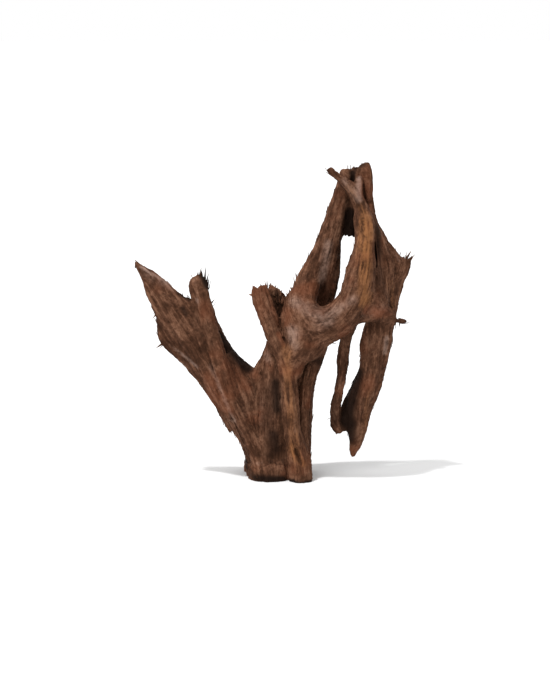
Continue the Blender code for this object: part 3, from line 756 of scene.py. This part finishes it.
# stains, painted shade and painted highlights: two ends and radius of each, in millimetres, and strength; the
# depth counts less than the rest
stainsAndPaintedLight = {
    # the dark group is mostly painted shade, in pockets, seams, cracks, under the knuckle and on shadowed
    # faces, with a few dark spots of the wood
    "darkAndShade": [
        ((-90, 5, 181), (-45, 5, 139), 11.2, 0.8), ((-72, -6, 178), (-38, -6, 138), 6.5, 0.85),
        ((-2, -12, 239), (0, -12, 218), 4.6, 0.9), ((0, -20, 210), (1, -20, 186), 2.4, 0.6),
        ((-38, -38, 31), (-12, -38, 33), 3, 0.6), ((55, -10, 238), (56, -10, 226), 14, 0.6),
        ((88, 12, 330), (88, 12, 305), 11.2, 1.0), ((90, 0, 381), (91, 0, 371), 5, 1.0),
        ((106, -10, 375), (106, -10, 352), 3.1, 0.8), ((95, 0, 388), (104, 0, 392), 5, 0.6),
        ((34, -5, 156), (54, -5, 146), 10, 0.7), ((-4, -22, 124), (-2, -22, 89), 7.5, 0.75),
        ((-16, -26, 116), (-12, -28, 32), 12, 0.4),
        ((-6, -24, 58), (-2, -24, 38), 7.5, 0.6), ((2, -28, 150), (5, -28, 127), 3.8, 0.4),
        ((40, -5, 123), (40, -5, 2), 5, 0.55), ((100, 14, 130), (85, 14, 69), 11.2, 1.0),
        ((91, 12, 63), (91, 12, 44), 10, 0.8), ((122, -8, 316), (122, -8, 225), 6.2, 0.7),
        ((-119, -12, 215), (-115, -12, 208), 4.6, 0.75), ((-124, -8, 232), (-111, -8, 225), 3.8, 0.7),
        ((-96, -6, 268), (-90, -6, 243), 7, 1.0), ((-44, -5, 21), (-40, -5, 12), 5, 1.0),
        ((-41, -40, 5), (4, -40, 3), 6.5, 0.9), ((4, -40, 1), (39, -40, 0), 4, 1.0),
        ((26, -34, 115), (28, -34, 92), 2.5, 0.9),
        ((148, -3, 196), (159, -3, 196), 6.2, 0.5), ((74, 12, 285), (71, 12, 221), 3.1, 0.5),
        ((70, 8, 101), (68, 8, 63), 6.2, 0.5), ((88, -28, 269), (84, -28, 241), 3.8, 0.3),
        ((-66, -15, 140), (-46, -15, 93), 10, 0.35), ((20, -45, 38), (25, -45, 28), 2.5, 1.0),
    ],
    "warm": [
        ((106, -30, 323), (103, -36, 229), 13, 1.0), ((106, -34, 229), (91, -34, 207), 7.5, 0.5),
        ((8, -38, 168), (19, -38, 42), 12.5, 0.62), ((84, -15, 366), (104, -15, 335), 7, 0.6),
        ((26, -5, 237), (39, -5, 260), 10, 0.45), ((136, -2, 247), (141, -2, 216), 8.8, 0.6),
        ((111, 2, 106), (109, 2, 48), 7.5, 0.55), ((121, 0, 179), (119, 0, 109), 6.2, 0.4),
        ((14, -45, 43), (30, -45, 24), 7.5, 0.8), ((-31, -12, 236), (-19, -12, 222), 9, 0.9),
        ((112, 0, 391), (115, 0, 350), 3.8, 0.5), ((-149, -15, 188), (-99, -15, 135), 7.5, 0.3),
        ((12, -45, 26), (26, -45, 10), 8.8, 0.4), ((22, -45, 181), (64, -45, 188), 8.8, 0.35),
    ],
    "red": [
        ((109, -30, 251), (104, -30, 213), 5, 0.9), ((114, -20, 214), (141, -20, 209), 11, 0.65),
        ((118, -14, 240), (122, -16, 206), 11, 0.4),
        ((26, -35, 164), (82, -35, 189), 5, 0.6), ((-1, -28, 186), (6, -28, 172), 6.2, 0.8),
        ((109, -28, 322), (110, -28, 316), 5, 0.6), ((28, -30, 107), (30, -30, 76), 5, 0.4),
        ((-31, -4, 230), (-28, -4, 225), 6.2, 0.6),
    ],
    # the pale group is bleached wood, with painted highlights on some ridges, the knuckle's top and upper
    # edges
    "pale": [
        ((18, -45, 228), (60, -45, 206), 13, 0.55), ((20, -45, 190), (50, -45, 192), 14, 0.25),
        ((16, -40, 192), (19, -40, 173), 10, 0.5),
        ((-85, -28, 145), (-56, -28, 76), 5, 0.5), ((-58, -26, 76), (-36, -26, 30), 5, 0.3),
        ((-145, -20, 175), (-101, -20, 143), 3.8, 0.7), ((-101, -15, 226), (-84, -15, 193), 3.1, 0.8),
        ((-104, -14, 251), (-99, -14, 226), 5, 0.3), ((-168, -12, 257), (-126, -12, 236), 7.5, 0.4),
        ((-171, -10, 266), (-121, -10, 237), 2.5, 0.8), ((61, -5, 293), (54, -5, 250), 10, 0.6),
        ((80, -15, 373), (97, -15, 348), 7, 0.5), ((98, -10, 375), (98, -10, 352), 5, 0.8),
        ((70, -50, 219), (91, -50, 232), 10, 0.5), ((-25, -28, 119), (-21, -28, 71), 9, 0.3),
        ((104, -25, 212), (128, -14, 214), 11, 0.45), ((122, -8, 262), (132, -8, 235), 14, 0.3),
        ((-21, -20, 170), (-14, -20, 151), 8.8, 0.5), ((-40, -40, 21), (-14, -42, 24), 4, 0.8),
        ((19, -44, 107), (20, -44, 64), 3.8, 0.5), ((130, -3, 319), (136, -3, 294), 5, 0.4),
        ((134, 0, 176), (132, 0, 157), 5, 0.7), ((-19, 0, 211), (-11, 0, 188), 5, 0.6),
        ((141, 0, 287), (149, 0, 272), 3.8, 0.4),
    ],
}
stainDepth = 0.45
stainEdge = 1.1

# places where the flutes have weathered away and only fine fibres are left, given as the stains are
calm = [
    ((-24, -30, 34), (-12, -26, 150), 24, 1.0), ((-4, -28, 40), (-2, -28, 130), 14, 1.0),
    ((34, -24, 20), (34, -22, 140), 11, 0.7), ((20, -45, 165), (60, -48, 195), 28, 1.0),
    ((30, -40, 215), (85, -48, 225), 20, 1.0), ((95, -50, 245), (104, -40, 300), 14, 0.7),
    ((125, -12, 215), (135, -12, 265), 24, 1.0), ((100, -30, 216), (138, -15, 208), 18, 1.0),
    ((-45, -25, 60), (-60, -25, 100), 16, 0.6), ((-160, -15, 250), (-110, -18, 190), 22, 0.45),
    ((46, -6, 240), (66, -4, 320), 16, 0.8), ((120, -8, 190), (108, -2, 90), 16, 0.8),
    ((20, 45, 40), (30, 40, 150), 22, 0.6), ((128, 28, 260), (118, 26, 140), 16, 0.6),
]


def covered(points, places):
    # how much of each point the places cover, from 0 to 1
    metric = np.array((1.0, stainDepth, 1.0))
    clean = np.ones(len(points))
    for start, end, radius, strength in places:
        a, b = np.array(start) * mm * metric, np.array(end) * mm * metric
        off = points * metric - a
        t = np.clip(off @ (b - a) / max((b - a) @ (b - a), 1e-12), 0, 1)
        far = np.linalg.norm(off - t[:, None] * (b - a), axis=1) / (radius * mm)
        clean *= 1 - strength * np.exp(-stainEdge * far**2)
    return 1 - clean


def pullAtTornEnds(points, strands):
    # the way in which the fibres of a torn end stand out
    pull = np.zeros_like(points)
    for one in strands:
        rings = ringsAlong(one["stations"], growth["ringStep"])
        centres, tangents, _, _ = ringFrames(rings)
        for end, word, sign in ((0, "first", -1), (-1, "last", 1)):
            if one["torn"] not in (word, "both"):
                continue
            off = points - centres[end]
            ahead = off @ (sign * tangents[end])
            radius = rings[end, 3]
            side = np.linalg.norm(off - ahead[:, None] * (sign * tangents[end]), axis=1)
            share = np.clip(1.4 + ahead / radius, 0, 1) * np.clip(1.6 - side / radius, 0, 1)
            pull += sign * tangents[end] * share[:, None]
    return pull


def calmDown(mesh):
    # calm places take the shape of a well blurred skin
    points, edges = pointsOf(mesh), edgesOf(mesh)
    share = covered(points, calm)[:, None]
    setPoints(mesh, points + share * (spread(points, edges, grain["calmRounds"]) - points))


def addGrain(mesh, strands):
    points, edges = pointsOf(mesh), edgesOf(mesh)
    way = grainDirections(points, strands)
    normals = normalsOf(mesh)
    flat = way - (way * normals).sum(1, keepdims=True) * normals
    course = unit(flat + 0.15 * way)  # along the skin, but for a small part
    noise = np.random.default_rng(growth["seed"])
    shortSteps = grainSteps(points, course, grain["shortStep"])
    longSteps = grainSteps(points, course, grain["longStep"])

    def streaks(count, rounds):
        blur, shortRounds, longRounds = rounds
        values = spread(noise.standard_normal((len(points), count)), edges, blur)
        return evened(drawOut(drawOut(values, shortSteps, shortRounds), longSteps, longRounds))

    for name, limit in (("ridge", 2.2), ("fibre", 2.2), ("fleck", 3)):
        store(mesh, name, np.clip(streaks(1, grain[name + "Rounds"])[:, 0], -limit, limit))
    flow = streaks(3, grain["flowRounds"])
    patch = evened(spread(noise.standard_normal(len(points)), edges, grain["patchRounds"]))
    line = np.clip(1 - np.abs(flow[:, 2]) / grain["crackWidth"], 0, 1)
    store(mesh, "crack", line * np.clip(patch - grain["crackFrom"], 0, 1))
    store(mesh, "flow", flow)
    store(mesh, "grain", way)
    store(mesh, "pull", pullAtTornEnds(points, strands))


def sawFoot(mesh):
    # everything below the floor is sawn off flat, and the cut is closed
    bm = bmesh.new()
    bm.from_mesh(mesh)
    everything = bm.verts[:] + bm.edges[:] + bm.faces[:]
    bmesh.ops.bisect_plane(bm, geom=everything, dist=1e-5, plane_co=(0, 0, 0), plane_no=(0, 0, -1),
                           clear_outer=True)
    rim = [edge for edge in bm.edges if edge.is_boundary]
    bmesh.ops.triangle_fill(bm, edges=rim, use_beauty=True)
    bmesh.ops.triangulate(bm, faces=[face for face in bm.faces if len(face.verts) > 3])
    bmesh.ops.recalc_face_normals(bm, faces=bm.faces)
    bm.to_mesh(mesh)
    bm.free()


def addFinish(mesh):
    # what the finish reads: stains with painted shade and painted highlights, and how far each point lies
    # under the blurred skin, which it paints as shade in creases and recesses
    points, edges, normals = pointsOf(mesh), edgesOf(mesh), normalsOf(mesh)
    for name, rounds, depth in (("relief", 6, 0.25 * mm), ("hollow", 90, 2.0 * mm)):
        under = ((spread(points, edges, rounds) - points) * normals).sum(1) / depth
        store(mesh, name, np.clip(under, -2, 2))
    store(mesh, "darkAndShade", covered(points, stainsAndPaintedLight["darkAndShade"]))
    store(mesh, "tint", np.stack([covered(points, stainsAndPaintedLight[kind]) for kind in ("warm", "red", "pale")], 1))


def inBox(mesh):
    points = pointsOf(mesh)
    setPoints(mesh, np.clip(points, cadBox[0], cadBox[1]))


finish = {
    # the near black of painted shade in creases, pockets and seams, and of a few dark spots and the dirt in
    # grooves
    "nearBlack": (0.008, 0.004, 0.0025, 1),
    "deepBrown": (0.031, 0.0128, 0.0064, 1),
    "brown": (0.082, 0.035, 0.019, 1),
    "tan": (0.196, 0.101, 0.061, 1),
    "grey": (0.300, 0.206, 0.166, 1),
    "orange": (0.220, 0.090, 0.031, 1),
    "rust": (0.172, 0.052, 0.023, 1),
    "roughness": 0.75,
    "shine": 0.05,
    "bump": 0.6 * mm,
}

# the noises of the wood's tone: scale, detail, roughness and share; the first two lie in the grain's
# own coordinates, which drift over the piece at the given rate
noises = {
    "streak": (1.1, 3.0, 0.6, 0.17),
    "hair": (3.6, 4.0, 0.7, 0.28),
    "patchy": (34.0, 4.0, 0.6, 0.21),
    "mottle": (190.0, 3.0, 0.7, 0.15),
    "blotch": (62.0, 3.0, 0.6, 0.19),
}
drift = {"streak": 30.0, "hair": 75.0}


def toneNoises(graph, place, flow):
    made = []
    for name, (scale, detail, roughness, _) in noises.items():
        where = place
        if name in drift:
            where = graph.vectorMaths("ADD", flow, graph.vectorMaths("SCALE", place, drift[name]))
        made.append(graph.noise(where, scale, detail, roughness))
    return made


# the wood's own colours, with painted shade in creases, hollows and seams and painted highlights on some
# ridges
def weatheredWoodWithPaintedLight():
    material = bpy.data.materials.new("weathered_wood")
    material.use_nodes = True
    graph = Graph(material.node_tree)
    shader = material.node_tree.nodes["Principled BSDF"]
    place = graph.make("ShaderNodeTexCoord", output="Object")
    flow = graph.attribute("flow", "Vector")
    warm, red, pale = graph.parts(graph.attribute("tint", "Vector"))
    darkAndShade, relief, hollow, fleck, fibre = (
        graph.attribute(name) for name in ("darkAndShade", "relief", "hollow", "fleck", "fibre")
    )
    streak, hair, patchy, mottle, blotch = toneNoises(graph, place, flow)
    tone = fleck * 0.020 + fibre * 0.010
    for noise, (_, _, _, share) in zip((streak, hair, patchy, mottle, blotch), noises.values()):
        tone = tone + noise * share

    colour = graph.mixColour(tone.between(0.40, 0.56), finish["deepBrown"], finish["brown"])
    colour = graph.mixColour(tone.between(0.48, 0.65) * 0.85, colour, finish["tan"])
    # bleached wood and painted highlights go towards grey
    bleachAndHighlight = pale * (tone * 1.5 + mottle * 0.5 + fleck * 0.06 - 0.2)
    colour = graph.mixColour(bleachAndHighlight.between(0.15, 1.0) * 0.9, colour, finish["grey"])
    fiery = warm * (tone * 2.2 + streak * 0.9 + fleck * 0.08 + fibre * 0.05 - 0.72)
    colour = graph.mixColour(fiery.between(0.25, 1.05) * 0.75, colour, finish["orange"])
    rusty = red * (patchy * 0.8 + tone)
    colour = graph.mixColour(rusty.between(0.25, 1.0) * 0.8, colour, finish["rust"])
    reddish = graph.noise(place, 24.0, 2.0, 0.5).between(0.5, 0.72)
    colour = graph.mixColour(reddish * 0.3, colour, finish["rust"])
    # painted shade: recesses under the blurred skin go deep brown
    colour = graph.mixColour(hollow.between(0.1, 1.5) * 0.7, colour, finish["deepBrown"])
    # fine creases go near black: painted shade, together with the dark dirt of weathered grooves
    colour = graph.mixColour(relief.between(0.6, 2.2) * 0.35, colour, finish["nearBlack"])
    # painted shade, with a few dark spots: the dark group goes near black
    colour = graph.mixColour((darkAndShade * (0.5 + tone * 0.9)).between(0.1, 0.8) * 0.95, colour, finish["nearBlack"])
    graph.link(colour, shader.inputs["Base Color"])
    shader.inputs["Specular IOR Level"].default_value = finish["shine"]

    worn = (0.5 - relief * 0.5).between(0.1, 0.9)  # ridges are rubbed a little smoother
    graph.link(finish["roughness"] + hair * 0.2 - worn * 0.1, shader.inputs["Roughness"])
    bump = graph.make("ShaderNodeBump", {}, {
        "Strength": 0.8, "Distance": finish["bump"], "Height": hair * 0.6 + streak * 0.2 + mottle * 0.3,
    })
    graph.link(bump, shader.inputs["Normal"])
    material.diffuse_color = finish["brown"]
    return material


# splinters: root, lean, length and half width, in millimetres
splinters = [
    ((-101, -7, 252), (0.1, 0.0, 1.0), 9, 2.6), ((-98, -7, 252), (0.15, 0.1, 1.0), 15, 2.4),
    ((-95, -6, 250), (-0.1, 0.1, 1.0), 12, 2.8), ((-92, -6, 248), (0.05, 0.1, 1.0), 19, 2.4),
    ((-90, -8, 244), (0.2, 0.0, 1.0), 15, 2.4), ((-89, -5, 240), (0.2, 0.0, 1.0), 11, 2.4),
    ((-85, -2, 218), (0.6, -0.1, 0.9), 10, 2.0), ((-119, -4, 227), (-0.2, 0.0, 1.0), 7, 2.0),
    ((-114, -4, 224), (0.2, 0.0, 1.0), 8, 1.6), ((-110, -4, 223), (0.5, 0.0, 1.0), 5, 2.4),
    ((-153, -4, 206), (-0.7, 0.0, -0.9), 9, 1.8), ((-148, -4, 190), (-0.5, 0.0, -1.0), 9, 2.4),
    ((-146, -4, 168), (-1.0, 0.0, -0.7), 10, 2.6), ((-58, 6, 66), (0.0, 0.0, -1.0), 12, 4.0),
    ((-77, 4, 182), (0.5, 0.0, 0.8), 8, 3.2), ((-15, -3, 238), (0.0, -0.1, 1.0), 13, 1.9),
    ((-33, -20, 232), (-1.0, 0.0, 0.3), 5, 3.4), ((22, 4, 250), (-0.35, 0.0, 1.0), 8, 1.8),
    ((-11, -2, 241), (0.2, 0.0, 1.0), 6, 2.6), ((-6, -2, 237), (0.5, 0.0, 1.0), 7, 2.6),
    ((-2, -2, 235), (0.2, 0.0, 1.0), 6, 2.4), ((1, -3, 231), (0.6, 0.0, 1.0), 7, 2.4),
    ((5, -3, 227), (0.3, 0.0, 1.0), 6, 2.2), ((10, -12, 231), (-0.5, 0.0, 1.0), 4, 2.4),
    ((13, -12, 235), (-0.3, 0.0, 1.0), 4, 2.4), ((16, -10, 239), (-0.6, 0.0, 1.0), 4, 2.2),
    ((8, -14, 227), (-0.7, 0.0, 1.0), 4, 2.4),
    ((62, -26, 174), (1.0, 0.0, -0.2), 11, 1.8), ((42, 0, 124), (1.0, 0.0, -0.1), 9, 1.4),
    ((150, -3, 195), (-0.1, 0.0, -1.0), 6, 2.0), ((161, 8, 279), (0.6, 0.0, 1.0), 8, 2.0),
    ((164, 7, 275), (0.9, 0.0, 0.7), 7, 2.0),
    ((-177, -8, 270), (0.4, 0.0, 1.0), 4, 2.0),
]

goldenAngle = 2.39996  # radians

# torn ends: middle, direction, half width, half depth, number of splinters and their length
crowns = [
    ((-24, -20, 238), (-0.3, 0.2, 1.0), 9, 6, 9, 3), ((-6, -4, 235), (0.1, 0.0, 1.0), 10, 4, 9, 4),
    ((2, -10, 226), (0.1, 0.0, 1.0), 6, 5, 6, 4), ((105, 6, 388), (0.0, 0.0, 1.0), 6, 5, 4, 1.2),
    ((95, 4, 384), (-0.1, 0.0, 1.0), 6, 5, 7, 2), ((83, 1, 382), (-0.1, 0.0, 1.0), 5, 4, 4, 1.2),
    ((153, 8, 276), (0.1, 0.0, 1.0), 11, 6, 11, 1.6), ((77, 11, 54), (0.1, 0.0, -1.0), 5, 4, 4, 3),
    ((91, 14, 303), (0.0, 0.0, -1.0), 7, 3, 5, 3),
]

tearing = {
    "sides": 5,
    "sunk": 6.0,  # millimetres of each splinter that stand in the wood
    "lean": 0.35,
    "jitter": 0.3,
    "turn": 0.2,
    "lengths": (0.5, 1.3),
    "widths": (1.2, 2.6),
    "fineToEach": 1,  # fine splinters round every coarse one
    "fineWidths": (0.4, 1.1),
    "fineLengths": (0.4, 0.9),
    "fineScatter": 2.4,
    "bend": 2.2 * mm,
}

fibres = {
    "density": 9000.0,  # in one square metre
    "length": 7.5 * mm,
    "shortest": 0.45,  # of the length
    "longest": 1.5,
    "thickness": 0.32 * mm,
    "seed": 5,
}


def crownSplinters(crown, draw):
    middle, direction, halfWidth, halfDepth, count, length = crown
    along = Vector(direction).normalized()
    across = along.cross(Vector(front)).normalized()
    outward = across.cross(along)
    made = []
    for i in range(count):
        angle = goldenAngle * i + draw.uniform(-tearing["jitter"], tearing["jitter"])
        reach = math.sqrt((i + 0.5) / count)
        off = reach * (across * (halfWidth * math.cos(angle)) + outward * (halfDepth * math.sin(angle)))
        lean = along + off.normalized() * draw.uniform(0.0, tearing["lean"])
        made.append((Vector(middle) + off, lean, length * draw.uniform(*tearing["lengths"]),
                     draw.uniform(*tearing["widths"])))
    return made


def allSplinters(draw):
    coarse = list(splinters)
    for crown in crowns:
        coarse += crownSplinters(crown, draw)
    fine = []
    for root, lean, length, _ in coarse:
        for _ in range(tearing["fineToEach"]):
            shift = Vector([draw.gauss(0, tearing["fineScatter"]) for _ in range(3)])
            turned = Vector(lean).normalized() + Vector([draw.gauss(0, tearing["turn"]) for _ in range(3)])
            fine.append((Vector(root) + shift, turned, length * draw.uniform(*tearing["fineLengths"]),
                         draw.uniform(*tearing["fineWidths"])))
    return coarse + fine


def splinterTree():
    # a slim cone stands on every point, as its lean, length and width say, and is then bent a little
    graph, given = newTree("splinters", ["bend"], ["sides"])
    cone = graph.make("GeometryNodeMeshCone", {}, {
        "Vertices": given["sides"], "Side Segments": 4, "Radius Top": 0.0, "Radius Bottom": 1.0, "Depth": 1.0,
    })
    points = graph.make("GeometryNodeMeshToPoints", {}, {"Mesh": given["Geometry"]})
    turn = graph.make("FunctionNodeAlignRotationToVector", {"axis": "Z"},
                      {"Vector": named(graph, "lean", "FLOAT_VECTOR")})
    width = named(graph, "width")
    size = graph.make("ShaderNodeCombineXYZ", {}, {0: width, 1: width * 0.7, 2: named(graph, "length")})
    standing = graph.make("GeometryNodeInstanceOnPoints", {}, {
        "Points": points, "Instance": cone, "Rotation": turn, "Scale": size,
    })
    real = graph.make("GeometryNodeRealizeInstances", {}, {"Geometry": standing})
    wobble = graph.make("ShaderNodeTexNoise", {}, {
        "Vector": graph.make("GeometryNodeInputPosition"), "Scale": 140.0, "Detail": 1.0,
    }, "Color")
    off = graph.vectorMaths("SCALE", graph.vectorMaths("SUBTRACT", wobble, (0.5, 0.5, 0.5)), given["bend"])
    bent = graph.make("GeometryNodeSetPosition", {}, {"Geometry": real, "Offset": off})
    return endTree(graph, bent, given["wood"])


def fibreTree():
    # loose fibres: thin curved slivers scattered over the skin, along the grain, with one end lifted
    graph, given = newTree("looseFibres", ["density", "length", "thickness"], ["seed"])
    spots = graph.make("GeometryNodeDistributePointsOnFaces", {"distribute_method": "RANDOM"}, {
        "Mesh": given["Geometry"], "Density": given["density"], "Seed": given["seed"],
    })
    normal = Socket(graph, spots.socket.node.outputs["Normal"])
    arc = graph.make("GeometryNodeCurveQuadraticBezier", {}, {
        "Resolution": 5, "Start": (0, -0.06, -0.5), "Middle": (0, 0.04, 0.0), "End": (0, 0.09, 0.5),
    })
    share = graph.make("GeometryNodeSplineParameter")
    swell = (1 - (share * 2 - 1) ** 2) * 0.9 + 0.1
    ratio = given["thickness"] / given["length"]
    tapered = graph.make("GeometryNodeSetCurveRadius", {}, {"Curve": arc, "Radius": swell})
    ring = graph.make("GeometryNodeCurvePrimitiveCircle", {"mode": "RADIUS"}, {
        "Resolution": 3, "Radius": ratio,
    })
    sliver = graph.make("GeometryNodeCurveToMesh", {}, {
        "Curve": tapered, "Profile Curve": ring, "Fill Caps": True,
    })
    along = graph.make("FunctionNodeAlignRotationToVector", {"axis": "Z"},
                       {"Vector": named(graph, "grain", "FLOAT_VECTOR")})
    turn = graph.make("FunctionNodeAlignRotationToVector", {"axis": "Y", "pivot_axis": "Z"},
                      {"Rotation": along, "Vector": normal})
    size = graph.make("FunctionNodeRandomValue", {"data_type": "FLOAT"},
                      {"Min": fibres["shortest"], "Max": fibres["longest"], "Seed": given["seed"]}, 1)
    laid = graph.make("GeometryNodeInstanceOnPoints", {}, {
        "Points": spots, "Instance": sliver, "Rotation": turn, "Scale": size * given["length"],
    })
    return endTree(graph, laid, given["wood"])


def makeSplinters(skinMesh, draw, material):
    rows = allSplinters(draw)
    lean = np.array([Vector(row[1]).normalized() for row in rows])
    root = np.array([list(row[0]) for row in rows]) * mm - lean * tearing["sunk"] * mm
    piece = meshObject("splinters", root)
    mesh = piece.data
    store(mesh, "lean", lean)
    store(mesh, "length", [(row[2] + tearing["sunk"]) * mm for row in rows])
    store(mesh, "width", [row[3] * mm for row in rows])
    tree = treeOf(pointsOf(skinMesh))
    nearest = [tree.find(point)[1] for point in (root + lean * tearing["sunk"] * mm).tolist()]
    # the splinters take the skin's tints, painted shade and painted highlights from where they stand
    for name in ("flow", "tint", "darkAndShade", "relief", "hollow", "fleck", "fibre"):
        store(mesh, name, stored(skinMesh, name)[nearest])
    applyTree(piece, splinterTree(), {**tearing, "wood": material})
    return piece


def makeFibres(skinMesh, material):
    piece = bpy.data.objects.new("loose_fibres", skinMesh.copy())
    bpy.context.scene.collection.objects.link(piece)
    piece.data.materials.clear()
    applyTree(piece, fibreTree(), {**fibres, "wood": material})
    return piece


draw = random.Random(growth["seed"])
strands = trunk() + leftArm() + stubAndKnuckle() + loopLimb() + tallLeg() + rightBranch() + hangingBranch()
skin = growTogether(strands, draw)
print("grown together:", len(skin.data.vertices), "points")
calmDown(skin.data)
hollowOut(skin.data)
addGrain(skin.data, strands)
print("grain drawn out")
woodMaterial = weatheredWoodWithPaintedLight()
applyTree(skin, reliefTree(), {**grain, "wood": woodMaterial})
lighten = skin.modifiers.new("lighten", "DECIMATE")
lighten.use_collapse_triangulate = True
lighten.ratio = min(1.0, growth["triangles"] / (2 * len(skin.data.polygons)))
makePlain(skin)
sawFoot(skin.data)
inBox(skin.data)
addFinish(skin.data)
skin.data.materials.clear()
skin.data.materials.append(woodMaterial)
skin.data.shade_smooth()
print("skin:", len(skin.data.polygons), "triangles")
tornWood = makeSplinters(skin.data, draw, woodMaterial)
loose = makeFibres(skin.data, woodMaterial)
for piece in (tornWood, loose):
    inBox(piece.data)
    piece.data.shade_smooth()
    print(piece.name, len(piece.data.polygons), "faces")
for piece in (skin, tornWood, loose):
    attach(piece, "root")
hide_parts("driftwood")

studio = {
    "floorSize": 60.0,
    "floorColour": (0.69, 0.69, 0.69, 1),
    "world": 1.0,
    "keyFrom": (-0.28, -0.17, 0.945),
    "keyStrength": 2.4,
    "keyAngle": 3.5,
    "frontFrom": (-0.55, -0.74, 0.40),
    "frontStrength": 1.5,
    "frontAngle": 45,
    "lens": 100,
    "elevation": 10,
    "distance": 2.37,
    "target": (-0.005, 0.0, 0.1707),
}


def studioFloor():
    half = studio["floorSize"] / 2
    corners = [(-half, -half, 0), (half, -half, 0), (half, half, 0), (-half, half, 0)]
    floor = meshObject("studio_floor", corners, [(0, 1, 2, 3)])
    material = bpy.data.materials.new("pale_floor")
    material.use_nodes = True
    shader = material.node_tree.nodes["Principled BSDF"]
    shader.inputs["Base Color"].default_value = studio["floorColour"]
    shader.inputs["Roughness"].default_value = 0.9
    floor.data.materials.append(material)


def farLight(name):
    # an even light from far away; its angle says how soft it is
    data = bpy.data.lights.new(name, "SUN")
    data.energy = studio[name + "Strength"]
    data.angle = math.radians(studio[name + "Angle"])
    light = bpy.data.objects.new(name, data)
    light.rotation_euler = Vector(studio[name + "From"]).to_track_quat("Z", "Y").to_euler()
    bpy.context.scene.collection.objects.link(light)


def camera():
    data = bpy.data.cameras.new("camera")
    data.lens = studio["lens"]
    made = bpy.data.objects.new("camera", data)
    angle = math.radians(studio["elevation"])
    back = Vector((0, -math.cos(angle), math.sin(angle))) * studio["distance"]
    made.location = Vector(studio["target"]) + back
    made.rotation_euler = (-back).to_track_quat("-Z", "Y").to_euler()
    bpy.context.scene.collection.objects.link(made)
    bpy.context.scene.camera = made


studioFloor()
farLight("key")
farLight("front")
camera()
world = bpy.data.worlds.new("studio")
world.use_nodes = True
sky = world.node_tree.nodes["Background"]
sky.inputs["Color"].default_value = (1, 1, 1, 1)
sky.inputs["Strength"].default_value = studio["world"]
bpy.context.scene.world = world
bpy.context.scene.view_settings.view_transform = "Standard"
print("studio set")
